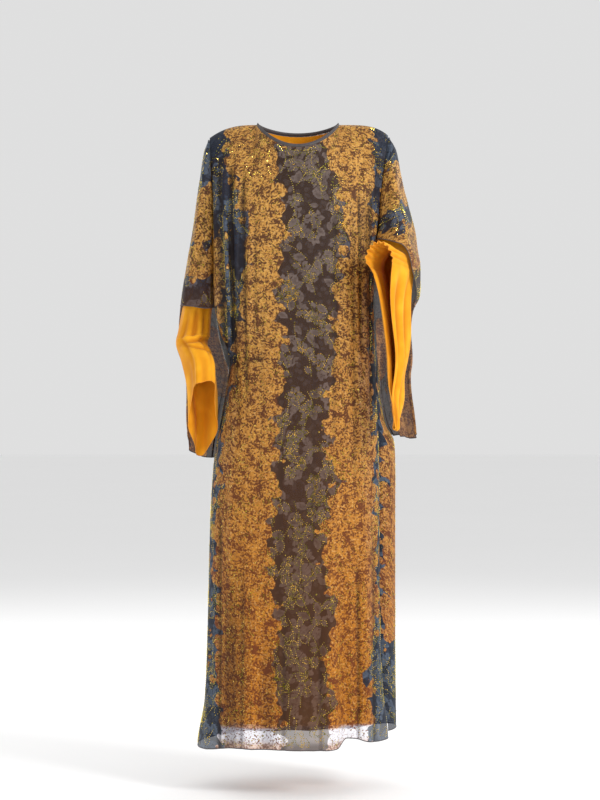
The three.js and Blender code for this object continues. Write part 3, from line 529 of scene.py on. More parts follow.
@dataclass(frozen=True)
class WingShape:
    """The surface of one layer of a wing, from the valley at the body to the overarm line."""

    side: str
    face: Face
    waves: float = 0.0
    # how far across and outwards the curve is pulled near the valley and near the overarm line
    near: tuple[float, float] = (0.04, 1.15)
    far: tuple[float, float] = (0.02, 1.2)
    clear_of_body: float = 0.1
    # levels where the left rear layer moves over to the back panel, and where waves begin
    turning_from: float = -420.0
    waves_from: float = -440.0

    def inner(self, z: Array) -> Array:
        """The body's edge that the wing starts from."""
        if self.face is Face.FRONT:
            return FRONT_SHAPE.edge_at(0.0 if self.side == "right" else FRONT_SHAPE.columns, z)
        if self.side == "right":
            return BACK_SHAPE.edge_at(0.0, z)
        edge = BACK_SHAPE.edge_at(BACK_SHAPE.columns, z)
        turning = BACK_SHAPE.level(np.full_like(z, BACK_SHAPE.main_columns), z)
        turning[..., 0] -= VALLEY_GAP
        return mix(edge, turning, smooth((self.turning_from - z) / 100)[..., None])

    def grid(self, columns: int, rows: int) -> Array:
        """The layer's points, row by row from its top to its own lower edge."""
        sign = self.face.value
        share, down = np.meshgrid(np.linspace(0, 1, columns + 1), np.linspace(0, 1, rows + 1))
        low = LOWER_EDGE[(self.side, self.face)].at("z", share)
        z = mix(WING_TOP[self.side], low, down)
        table = OVERARM[self.side]
        out_x = table.at("x", z)
        out_y = table.at("y", z) + sign * SEAM_GAP / 2
        bulge = sign * table.at(self.face.word, z)
        start = self.inner(z)
        start_x = start[..., 0] + math.copysign(VALLEY_GAP, table.columns["x"][0])
        start_y = start[..., 1] + sign * self.clear_of_body
        wide = out_x - start_x
        near_x = start_x + self.near[0] * wide
        near_y = start_y + (bulge - start_y) * self.near[1]
        far_x = out_x + self.far[0] * wide
        far_y = out_y + (bulge - out_y) * self.far[1]
        b0, b1 = (1 - share) ** 3, 3 * share * (1 - share) ** 2
        b2, b3 = 3 * share**2 * (1 - share), share**3
        x = b0 * start_x + b1 * near_x + b2 * far_x + b3 * out_x
        y = b0 * start_y + b1 * near_y + b2 * far_y + b3 * out_y
        loose = smooth((self.waves_from - z) / 160) * smooth(share * 4)
        y = y + self.waves * loose * np.sin(4 * math.pi * share)
        return np.stack([x, y, z], axis=-1)


LINING_SECTIONS = Table(
    "z half front back",
    [
        (-216, 170, -119, 101),
        (-300, 164, -121, 105),
        (-420, 146, -119, 103),
        (-560, 138, -115, 101),
        (-800, 148, -110, 105),
        (-1100, 158, -103, 110),
        (-1366, 166, -98, 117),
    ],
)


@dataclass(frozen=True)
class SlipShape:
    """The surface of the lining's front or back."""

    face: Face
    columns: float = 20.0
    neck_from: float = 6.0
    armhole_x: float = 170.0
    armhole_bottom: float = -216.0
    armhole_open: float = 140.0
    inset: float = 3.4
    roundness: float = 0.8

    def level(self, column: Array, z: Array) -> Array:
        """Points of the level section at z, below the armholes."""
        half = LINING_SECTIONS.at("half", z)
        bulge = LINING_SECTIONS.at(self.face.word, z)
        turn = math.pi * column / self.columns
        out = np.maximum(np.sin(turn), 0) ** self.roundness
        y = mix(self.face.value * SEAM_GAP / 2, bulge, out)
        return np.stack([-half * np.cos(turn), y, z], axis=-1)

    def grid(self, columns: int, yoke_rows: int, rows: int) -> Array:
        """The slip's points, row by row from shoulder and neckline to its hem."""
        sign = self.face.value
        depth, drop = NECK[self.face]
        c = np.linspace(0, self.columns, columns + 1)
        column, t = np.meshgrid(c, np.linspace(0, 1, yoke_rows + 1))
        neck_to = self.columns - self.neck_from
        half = NECK_HALF_WIDTH - 0.8
        out = np.where(
            column < neck_to, 1 - column / self.neck_from, (column - neck_to) / self.neck_from
        )
        side_x = mix(half, self.armhole_x, np.clip(out, 0, 1)) * np.where(column < neck_to, -1, 1)
        turn = math.pi * np.clip((column - self.neck_from) / (neck_to - self.neck_from), 0, 1)
        in_neck = (column > self.neck_from) & (column < neck_to)
        lean = np.where(in_neck, np.sin(turn), 0.0)
        x = np.where(in_neck, -half * np.cos(turn), side_x)
        inner_y = np.maximum(SEAM_GAP / 2, (depth - self.inset) * lean)
        y = sign * np.where(in_neck, inner_y, SEAM_GAP / 2)
        neck_z = -drop * lean**1.5 - self.inset * (1 - 0.4 * lean)
        side_z = shoulder_height(x) - mix(self.inset, 6.0, np.clip(out, 0, 1))
        z = np.where(in_neck, neck_z, side_z)
        side = np.abs(np.cos(math.pi * column / self.columns)) ** 7
        leave_y = sign * mix(mix(112, self.armhole_open, side), 34, lean)
        leave = np.stack([np.zeros_like(x), leave_y, -mix(60, 120, lean)], axis=-1)
        fall_y = -sign * self.armhole_open * side
        fall = np.stack([np.zeros_like(x), fall_y, -mix(170, 60, side)], axis=-1)
        end = self.level(column, np.full_like(column, self.armhole_bottom))
        upper = hermite(np.stack([x, y, z], axis=-1), leave, end, fall, t[..., None])
        z_rows = np.linspace(self.armhole_bottom, LINING_HEM_LEVEL, rows + 1)[1:]
        low_c, low_z = np.meshgrid(c, z_rows)
        return np.concatenate([upper, self.level(low_c, low_z)])


def ring_table(columns: str, rows: Sequence[Sequence[float]]) -> Table:
    """A sleeve's rings as a table keyed by ring number, counted down from 0."""
    return Table("ring " + columns, [(-i, *row) for i, row in enumerate(rows)])


# Rings of the lining's sleeves from armhole to mouth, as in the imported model.
SLEEVE_RINGS = {
    "right": ring_table(
        "outX outZ inX inZ midY halfY rear",
        [
            (-170.4, -46, -170.4, -212, 0, 42, 0),
            (-194, -74, -172.6, -216, 0, 38, 0),
            (-213, -106, -173.4, -226, 0, 40, 0),
            (-223, -158, -174.4, -250, 0, 41.5, 0),
            (-232, -220, -176, -288, 0, 41.5, 0),
            (-245, -300, -181, -332, 0, 41.5, 0),
            (-257, -372, -191, -385, 0, 42, 0),
            (-265, -424, -199, -430, -5, 44, 0),
            (-274, -474, -201, -476, -14, 45, 4),
            (-279, -506, -206, -508, -26, 46, 12),
            (-265, -548, -194, -544, -42, 48, 30),
            (-250, -606, -184, -598, -56, 50, 56),
            (-246, -684, -184, -668, -60, 50, 84),
        ],
    ),
    "left": ring_table(
        "x y z sideX sideZ backY backZ tail pinch drift",
        [
            (170.4, 0, -128, 0, 82, 42, 0, 0, 0, 0),
            (183, 0, -141, 10, 71, 37, 0, 0, 0, 0),
            (196, 0, -164, 22, 57, 40, 0, 0, 0, 0),
            (205, 0, -206, 30, 38, 41, 0, 0, 0, 0),
            (214, -1, -256, 38, 22, 40, -6, 0, 0, 0),
            (228, -14, -306, 38, 8, 46, -26, 10, 0, 0),
            (232, -40, -334, 36, 0, 36, -44, 50, 0.15, 0),
            (229, -74, -343, 36, 0, 14, -48, 130, 0.3, 2),
            (222, -106, -343, 35, 0, 6, -48, 220, 0.3, 8),
            (208, -136, -340, 36, 0, 2, -48, 290, 0.55, 18),
            (192, -162, -334, 34, 0, 0, -48, 318, 0.78, 28),
            (180, -180, -328, 30, 0, 0, -46, 322, 0.9, 34),
        ],
    ),
}


@dataclass(frozen=True)
class SleeveShape:
    """The surface of one of the lining's sleeves, ring by ring from armhole to mouth."""

    side: str
    around: int
    along: int

    def steps(self) -> tuple[Array, Array]:
        """The angle round the sleeve and the ring number of each point."""
        last = len(SLEEVE_RINGS[self.side].key) - 1
        turns = np.linspace(0, 2 * math.pi, self.around + 1)
        turn, ring = np.meshgrid(turns, np.linspace(0, last, self.along + 1))
        return turn, ring

    def grid(self) -> Array:
        """The sleeve's points: rings down the rows, once round along the columns."""
        turn, ring = self.steps()
        table = SLEEVE_RINGS[self.side]
        at = {name: table.at(name, -ring) for name in table.columns}
        if self.side == "right":
            points = self.right_points(at, turn)
            push = self.creases()
        else:
            points = self.left_points(at, turn, ring)
            push = -self.creases()
        return points + push[..., None] * self.normals(points)

    def creases(self) -> Array:
        """How far folds and creases push each point outwards, in millimetres."""
        if self.side == "right":
            return self.right_creases(*self.steps())
        return self.left_creases(*self.steps())

    @staticmethod
    def right_points(at: dict[str, Array], turn: Array) -> Array:
        """The lowered arm's sleeve: a flat mouth with a pointed flap behind."""
        c, s = np.cos(turn), np.sin(turn)
        x = (at["outX"] + at["inX"]) / 2 + (at["outX"] - at["inX"]) / 2 * c
        y = at["midY"] + at["halfY"] * s
        z = (at["outZ"] + at["inZ"]) / 2 + (at["outZ"] - at["inZ"]) / 2 * c
        lean = np.where(s < 0, -(1 - (1 + np.minimum(s, 0)) ** 2.4), np.maximum(s, 0) ** 1.25)
        flap = np.maximum(s, 0) ** 3 * at["rear"] / 84
        return np.stack([x - 7 * flap, y, z - at["rear"] * lean], axis=-1)

    @staticmethod
    def left_points(at: dict[str, Array], turn: Array, ring: Array) -> Array:
        """The raised arm's sleeve: gathered at the wrist, with a long tail hanging down."""
        c, s = np.cos(turn), np.sin(turn)
        hang = np.maximum(s, 0)
        pinched = np.clip(at["pinch"] * 20, 0, 1)
        full = mix(1.0, (np.abs(c) + 0.01) ** -0.3, pinched * hang)
        narrowed = c * full * (1 - at["pinch"] * hang**0.65)
        wavy = 5.5 * np.sin(3.4 * math.pi * hang + 0.5) * hang * np.clip(2 * c, 0, 1)
        drift = at["drift"] * hang + wavy * smooth((ring - 6) / 2)
        x = at["x"] + at["sideX"] * narrowed + drift
        y = at["y"] + at["backY"] * s
        z = at["z"] + at["sideZ"] * c + at["backZ"] * s - at["tail"] * hang**2
        return np.stack([x, y, z], axis=-1)

    @staticmethod
    def normals(points: Array) -> Array:
        """Unit normals of a closed tube of points, the same on both sides of its seam."""
        ring = points[:, :-1]
        across = np.roll(ring, -1, axis=1) - np.roll(ring, 1, axis=1)
        normal = np.cross(across, np.gradient(ring, axis=0))
        normal /= np.maximum(np.linalg.norm(normal, axis=-1, keepdims=True), 1e-9)
        return np.concatenate([normal, normal[:, :1]], axis=1)

    @staticmethod
    def right_creases(turn: Array, ring: Array) -> Array:
        """Long troughs under the cuff, creases at the bent elbow and ripples at the mouth."""
        front = np.exp(-(((turn - 4.62) / 0.2) ** 2)) * smooth((ring - 6.4) / 1.0)
        side = np.exp(-(((turn - 5.35) / 0.2) ** 2)) * smooth((ring - 6.2) / 1.5)
        inner = np.exp(-(((turn - 3.95) / 0.16) ** 2)) * smooth((ring - 6.4) / 1.4)
        deep = -8.0 * front * (1 - smooth((ring - 8.2) / 1.0)) - 5.0 * side - 4.0 * inner
        elbow = 0.0
        for centre, tilt, size in ((8.7, 0.28, 4.6), (9.15, 0.28, -6.4), (9.8, -0.3, -5.0)):
            line = ring - centre - tilt * (turn - 4.7)
            elbow = elbow + size * np.exp(-((line / 0.17) ** 2)) * np.exp(
                -(((turn - 4.4) / 1.1) ** 2)
            )
        ripple = 4.2 * np.sin(5 * turn + 0.8) * smooth((ring - 9.6) / 2.2)
        upper = 1.2 * np.sin(7 * turn + ring) * smooth(ring / 2) * (1 - smooth((ring - 7) / 2))
        return deep + elbow + ripple + upper

    @staticmethod
    def left_creases(turn: Array, ring: Array) -> Array:
        """Gathers round the raised mouth and long folds down the hanging tail."""
        mouth = smooth((ring - 8.2) / 2.4)
        upper = np.clip(-np.sin(turn) * 1.4 + 0.5, 0, 1)
        gathers = 3.0 * np.sin(19 * turn + 0.6 * np.sin(3 * turn)) * mouth * upper
        hanging = np.clip(np.sin(turn), 0, 1) * smooth((ring - 6.5) / 3)
        folds = (3.0 * np.sin(9 * turn + 0.5) + 1.6 * np.sin(15 * turn + 1.1)) * hanging
        for centre, lean, size in (
            (6.9, 0.5, -4.0),
            (7.5, 0.9, 5.0),
            (8.2, 1.1, -7.5),
            (8.9, 0.8, 5.5),
            (9.5, 0.9, -7.0),
            (10.2, 0.5, 4.5),
        ):
            line = (ring - centre - lean * np.sin(turn)) / 0.27
            folds = folds + size * np.exp(-(line**2)) * np.clip(np.sin(turn) * 2.2, 0, 1)
        arm = 1.4 * np.sin(6 * turn + 0.7 * ring) * smooth(ring / 2) * (1 - mouth)
        return gathers + folds * 0.8 + arm


def colour(text: str, alpha: float = 1.0) -> tuple[float, float, float, float]:
    """A linear colour from an sRGB hex value.

    Args:
        text: Six hex digits.
        alpha: The fourth value.

    Returns:
        Red, green and blue in linear light, and alpha.
    """
    parts = [int(text[i : i + 2], 16) / 255 for i in (0, 2, 4)]
    linear = [p / 12.92 if p <= 0.04045 else ((p + 0.055) / 1.055) ** 2.4 for p in parts]
    return linear[0], linear[1], linear[2], alpha


def node(
    tree: bpy.types.NodeTree,
    kind: str,
    settings: dict[str, object] | None = None,
    links: dict[str | int, object] | None = None,
) -> bpy.types.Node:
    """Adds a node with its settings and links.

    Args:
        tree: The node tree.
        kind: The node's type name.
        settings: Properties of the node by name.
        links: By socket name or number, a value, or the output socket that feeds it.

    Returns:
        The new node.
    """
    made = tree.nodes.new(kind)
    for name, value in (settings or {}).items():
        setattr(made, name, value)
    for name, value in (links or {}).items():
        if isinstance(value, bpy.types.NodeSocket):
            tree.links.new(value, made.inputs[name])
        else:
            made.inputs[name].default_value = value
    return made


class Graph:
    """A material's node tree, with shorthands that all go through node()."""

    def __init__(self, name: str) -> None:
        """Starts an empty material of this name."""
        self.material = bpy.data.materials.new(name)
        self.material.use_nodes = True
        self.tree = self.material.node_tree
        self.tree.nodes.clear()

    def math(self, operation: str, *values: object) -> object:
        """The result of one sum on numbers."""
        links = dict(enumerate(values))
        return node(self.tree, "ShaderNodeMath", {"operation": operation}, links).outputs[0]

    def plus(self, first: object, second: object) -> object:
        """The sum of two numbers."""
        return self.math("ADD", first, second)

    def minus(self, first: object, second: object) -> object:
        """The first number less the second."""
        return self.math("SUBTRACT", first, second)

    def times(self, first: object, second: object) -> object:
        """The product of two numbers."""
        return self.math("MULTIPLY", first, second)

    def vector(self, operation: str, *values: object) -> object:
        """The result of one sum on vectors."""
        links = dict(enumerate(values))
        return node(self.tree, "ShaderNodeVectorMath", {"operation": operation}, links).outputs[0]

    def step(self, value: object, low: float, high: float) -> object:
        """A soft step from 0 at low to 1 at high."""
        settings = {"interpolation_type": "SMOOTHSTEP"}
        links = {"Value": value, "From Min": low, "From Max": high}
        return node(self.tree, "ShaderNodeMapRange", settings, links).outputs["Result"]

    def blend(self, share: object, first: object, second: object) -> object:
        """The colour share of the way from the first to the second."""
        links = {"Factor": share, 6: first, 7: second}
        return node(self.tree, "ShaderNodeMix", {"data_type": "RGBA"}, links).outputs[2]

    def between(self, share: object, first: object, second: object) -> object:
        """The number share of the way from the first to the second."""
        links = {"Factor": share, 2: first, 3: second}
        return node(self.tree, "ShaderNodeMix", {"data_type": "FLOAT"}, links).outputs[0]

    def noise(self, where: object, size_mm: float, detail: float) -> object:
        """Soft noise whose blotches are about this size."""
        links = {"Vector": where, "Scale": 1000 / size_mm, "Detail": detail, "Roughness": 0.6}
        made = node(self.tree, "ShaderNodeTexNoise", {"noise_dimensions": "3D"}, links)
        return made.outputs["Fac"]

    def warped(self, where: object, size_mm: float, reach_mm: float) -> object:
        """The same coordinates, pushed about softly so that no edge runs straight."""
        links = {"Vector": where, "Scale": 1000 / size_mm, "Detail": 1.0}
        push = node(self.tree, "ShaderNodeTexNoise", {"noise_dimensions": "3D"}, links)
        reach = (reach_mm * MM, reach_mm * MM, 0.0)
        return self.vector("MULTIPLY_ADD", push.outputs["Color"], reach, where)

    def cells(self, where: object, size_mm: float, wander: float) -> object:
        """The distance to the nearest cell's middle, with cells of about this size."""
        settings = {"voronoi_dimensions": "2D", "feature": "F1"}
        links = {"Vector": where, "Scale": 1000 / size_mm, "Randomness": wander}
        return node(self.tree, "ShaderNodeTexVoronoi", settings, links).outputs["Distance"]

    def attribute(self, name: str) -> object:
        """The value of one of the cloth's vertex attributes."""
        return node(self.tree, "ShaderNodeAttribute", {"attribute_name": name}).outputs["Fac"]

    def position(self) -> object:
        """The object's own coordinates."""
        return node(self.tree, "ShaderNodeTexCoord").outputs["Object"]

    def bump(self, height: object, strength: float, depth: float) -> object:
        """The normal of a surface with this relief."""
        links = {"Strength": strength, "Distance": depth, "Height": height}
        return node(self.tree, "ShaderNodeBump", None, links).outputs[0]

    def finish(self, **sockets: object) -> bpy.types.Material:
        """Closes the material with a Principled shader fed by these sockets."""
        links = {name.replace("_", " "): value for name, value in sockets.items()}
        shader = node(self.tree, "ShaderNodeBsdfPrincipled", None, links)
        node(self.tree, "ShaderNodeOutputMaterial", None, {"Surface": shader.outputs["BSDF"]})
        return self.material


@dataclass(frozen=True)
class PrintedGeorgette:
    """Sheer polyester georgette, woven plain and printed with disperse dye.

    Gold bands carry a brown lace of rosettes. Between them the print is dark, brown in the middle
    and navy at the sides, with pale leaves. The lining's orange shows through all of it, and
    below the lining's hem the gold bands are almost clear. A colour or cover named doubled is
    for the layers that hang over one another behind the arms.
    """

    gold_top: str = "dda755"
    gold_low: str = "cd8226"
    gold_tan: str = "a8642a"
    gold_shadow: str = "8a5628"
    gold_light: str = "f0c480"
    gold_doubled: str = "8c6640"
    gold_bare: str = "d9d5e2"
    lace_top: str = "55341f"
    lace_low: str = "6b3413"
    ground_middle: str = "2f221e"
    ground_low: str = "3f2414"
    ground_side: str = "1a2130"
    leaf_middle: str = "685b56"
    leaf_low: str = "61483c"
    leaf_side: str = "4d5868"
    # painted shade: a near-black that the print is blended towards in folds and creases, where shade
    # falls
    fold_shade: str = "1d120d"
    gold_cover: float = 0.70
    gold_doubled_cover: float = 0.94
    bare_cover: float = 0.42
    bare_doubled_cover: float = 0.86
    lace_cover: float = 0.93
    ground_cover: float = 0.90
    ground_bare_covers: tuple[float, float] = (0.72, 0.86)  # in the middle and at the sides
    # painted shade: how opaque the print is drawn in the deepest folds and creases
    fold_shade_cover: float = 0.97
    rosette_mm: float = 27.0
    scallop_mm: float = 33.0
    petal_mm: float = 15.0
    crepe_mm: float = 1.4

    def lace(self, g: Graph, where: object, reach: object) -> object:
        """The brown lace on the gold: curled petal rims and specks, 1 in the brown."""
        warp = g.warped(where, 11.0, 7.0)
        rosette = g.cells(warp, self.rosette_mm, 0.9)
        value = g.noise(warp, 4.2, 4.0)
        for pattern, middle, share in (
            (g.math("SINE", g.times(rosette, 26.0)), 0.0, 0.045),
            (g.step(rosette, 0.46, 0.74), 0.0, 0.10),
            (g.cells(warp, 8.5, 1.0), 0.4, 0.14),
            (g.noise(where, 24.0, 2.0), 0.5, 0.45),
            (g.noise(where, 9.5, 3.0), 0.5, 0.55),
            (g.minus(1.0, g.step(reach, 0.0, 0.0045)), 0.0, 0.02),
        ):
            value = g.plus(value, g.times(g.minus(pattern, middle), share))
        return g.step(value, 0.455, 0.60)

    def gold_print(
        self, g: Graph, where: object, warp: object, reach: object, read: dict[str, object]
    ) -> tuple[object, object]:
        """The gold bands with their lace.

        Args:
            g: The material's graph.
            where: The flat coordinates.
            warp: The same, pushed about softly.
            reach: How far inside a gold band a point is, in metres.
            read: The cloth's vertex attributes.

        Returns:
            The colour and the cover.
        """
        low, bare, dense = read["lowness"], read["bare"], read["dense"]
        field = g.blend(low, colour(self.gold_top), colour(self.gold_low))
        for pattern, share, tint in (
            (g.step(g.noise(where, 38.0, 2.0), 0.35, 0.7), 0.30, self.gold_tan),
            (g.step(g.noise(warp, 7.5, 4.0), 0.47, 0.60), 0.52, self.gold_shadow),
            (g.step(g.noise(where, 5.0, 3.0), 0.52, 0.66), 0.55, self.gold_light),
            (dense, 0.62, self.gold_doubled),
            (bare, 1.0, self.gold_bare),
        ):
            field = g.blend(g.times(pattern, share), field, colour(tint))
        # below the lining only the smallest specks of the lace are printed
        speck = g.step(g.noise(where, 4.5, 1.0), 0.50, 0.57)
        lace = g.times(self.lace(g, where, reach), g.between(bare, 1.0, speck))
        brown = g.blend(low, colour(self.lace_top), colour(self.lace_low))
        clear = g.between(dense, self.gold_cover, self.gold_doubled_cover)
        clear = g.between(bare, clear, g.between(dense, self.bare_cover, self.bare_doubled_cover))
        return g.blend(lace, field, brown), g.between(lace, clear, self.lace_cover)

    def leaf_print(self, g: Graph, where: object, warp: object, leaf: object) -> object:
        """How pale the dark print is: mottled leaves with a midrib, over faint petals."""
        shown = g.step(leaf, -0.0008, 0.0012)
        for pattern, share in (
            (g.step(leaf, 0.0030, 0.0085), 0.45),
            (g.step(g.noise(warp, 6.0, 3.0), 0.46, 0.66), 0.42),
            (g.step(g.noise(where, 44.0, 2.0), 0.42, 0.62), 0.35),
        ):
            shown = g.minus(shown, g.times(shown, g.times(pattern, share)))
        petal = g.step(g.cells(warp, self.petal_mm, 1.0), 0.42, 0.30)
        there = g.step(g.noise(where, 26.0, 2.0), 0.42, 0.52)
        vein = g.step(g.noise(warp, 3.6, 2.0), 0.40, 0.62)
        petal = g.times(g.times(petal, there), 0.24)
        return g.math("MAXIMUM", shown, g.times(petal, g.plus(g.times(vein, 0.6), 0.4)))

    def material(self) -> bpy.types.Material:
        """Builds the cloth from its flat coordinates and its vertex attributes."""
        g = Graph("printed_georgette")
        where = node(g.tree, "ShaderNodeUVMap", {"uv_map": "flat"}).outputs[0]
        warp = g.warped(where, 14.0, 8.0)
        names = ("gold", "leaf", "side", "lowness", "bare", "crease_shade", "dense")
        read = {name: g.attribute(name) for name in names}
        low, side, bare, crease_shade = (read[name] for name in ("lowness", "side", "bare", "crease_shade"))

        # rosettes 25 to 45 mm across make the scalloped outline of the gold bands
        scallop = g.minus(0.44, g.cells(warp, self.scallop_mm, 0.9))
        small = g.minus(0.40, g.cells(warp, 13.0, 0.9))
        reach = g.plus(read["gold"], g.times(scallop, 0.044))
        reach = g.plus(reach, g.times(small, 0.010))
        in_gold = g.step(reach, -0.0006, 0.0012)
        gold, gold_cover = self.gold_print(g, where, warp, reach, read)

        ground = g.blend(low, colour(self.ground_middle), colour(self.ground_low))
        ground = g.blend(side, ground, colour(self.ground_side))
        pale = g.blend(low, colour(self.leaf_middle), colour(self.leaf_low))
        pale = g.blend(side, pale, colour(self.leaf_side))
        dark = g.blend(self.leaf_print(g, where, warp, read["leaf"]), ground, pale)
        dark_cover = g.between(bare, self.ground_cover, g.between(side, *self.ground_bare_covers))

        base = g.blend(in_gold, dark, gold)
        # painted shade: deep in folds and creases the print is darkened towards the near-black and
        # drawn more opaque
        base = g.blend(g.times(crease_shade, 0.78), base, colour(self.fold_shade))
        cover = g.between(crease_shade, g.between(in_gold, dark_cover, gold_cover), self.fold_shade_cover)
        # the crepe yarn is about 0.6 mm apart, drawn wider so that it shows
        crepe = g.noise(g.vector("MULTIPLY", where, (1.0, 0.45, 1.0)), self.crepe_mm, 2.0)
        crinkle = g.noise(g.vector("MULTIPLY", where, (1.0, 0.22, 1.0)), 7.0, 3.0)
        return g.finish(
            Base_Color=base,
            Alpha=cover,
            Roughness=0.66,
            Specular_IOR_Level=0.22,
            Normal=g.bump(g.plus(g.times(crepe, 0.25), crinkle), 0.6, 0.0014),
        )


@dataclass(frozen=True)
class OrangeChiffon:
    """Plain-woven polyester chiffon, dyed orange: matt, soft and slightly crinkled."""

    face: str = "f3aa22"
    shade: str = "df920f"
    # painted shade, blended in along the troughs of the sleeves' creases
    fold_shade: str = "b5690a"

    def material(self) -> bpy.types.Material:
        """Builds the cloth from object coordinates, with painted shade where it lies in a fold."""
        g = Graph("orange_chiffon")
        where = g.position()
        crinkle = g.noise(g.vector("MULTIPLY", where, (1.0, 1.0, 0.18)), 5.0, 3.0)
        weave = g.noise(where, 1.0, 1.0)
        patch = g.step(g.noise(where, 60.0, 2.0), 0.35, 0.7)
        base = g.blend(patch, colour(self.shade), colour(self.face))
        # painted shade in the troughs of the sleeves' creases
        base = g.blend(g.times(g.attribute("valley_shade"), 0.7), base, colour(self.fold_shade))
        return g.finish(
            Base_Color=base,
            Roughness=0.8,
            Specular_IOR_Level=0.2,
            Sheen_Weight=0.08,
            Sheen_Roughness=0.45,
            Normal=g.bump(g.plus(crinkle, g.times(weave, 0.2)), 0.5, 0.0016),
        )


@dataclass(frozen=True)
class GeorgetteEdge:
    """The printed georgette rolled and overlocked at its edges: dense, dark and matt."""

    name: str = "rolled_georgette_edge"
    thread: str = "2b2a30"
    worn: str = "59514f"
    blotch_mm: float = 6.0
    blotch_detail: float = 3.0
    stitch_strength: float = 0.5
    stitch_depth: float = 0.0006
    roughness: float = 0.7

    def material(self) -> bpy.types.Material:
        """Builds the edge with its close oversewing."""
        g = Graph(self.name)
        where = g.position()
        blotch = g.noise(where, self.blotch_mm, self.blotch_detail)
        stitch = g.bump(g.noise(where, 1.2, 1.0), self.stitch_strength, self.stitch_depth)
        base = g.blend(blotch, colour(self.thread), colour(self.worn))
        return g.finish(Base_Color=base, Roughness=self.roughness, Normal=stitch)


@dataclass(frozen=True)
class ChiffonEdge(GeorgetteEdge):
    """The orange chiffon's narrow rolled hem, a shade deeper where it is doubled."""

    name: str = "rolled_chiffon_edge"
    thread: str = "d9860f"
    worn: str = "f0a02a"
    blotch_mm: float = 5.0
    blotch_detail: float = 2.0
    stitch_strength: float = 0.4
    stitch_depth: float = 0.0005
    roughness: float = 0.75


@dataclass(frozen=True)
class FoiledGlass:
    """Small flat-backed glass stones with a gold foil, heat-set on the cloth."""

    green: str = "8f8a2a"
    yellow: str = "e6c663"

    def material(self) -> bpy.types.Material:
        """Builds the stones, each a little greener or yellower than the next."""
        g = Graph("foiled_glass_stones")
        tone = g.step(g.noise(g.position(), 9.0, 0.0), 0.3, 0.7)
        base = g.blend(tone, colour(self.green), colour(self.yellow))
        return g.finish(Base_Color=base, Metallic=1.0, Roughness=0.18)


def add_object(name: str, data: bpy.types.ID) -> bpy.types.Object:
    """Adds an object with this mesh, light or camera to the scene."""
    made = bpy.data.objects.new(name, data)
    bpy.context.collection.objects.link(made)
    return made


def add_mesh(name: str, bm: bmesh.types.BMesh, material: bpy.types.Material) -> bpy.types.Object:
    """Adds an object at the origin, made from a finished bmesh, which it frees."""
    mesh = bpy.data.meshes.new(name)
    bm.to_mesh(mesh)
    bm.free()
    mesh.materials.append(material)
    return add_object(name, mesh)


def normals_of(points: Array, sign: float) -> Array:
    """Unit normals of a grid of points.

    Args:
        points: Rows, columns and x, y, z.
        sign: 1 or -1, to turn them outwards.

    Returns:
        An array of the same shape.
    """
    along = np.gradient(points, axis=1)
    down = np.gradient(points, axis=0)
    normal = np.cross(along, down) * sign
    length = np.linalg.norm(normal, axis=-1, keepdims=True)
    return normal / np.maximum(length, 1e-9)


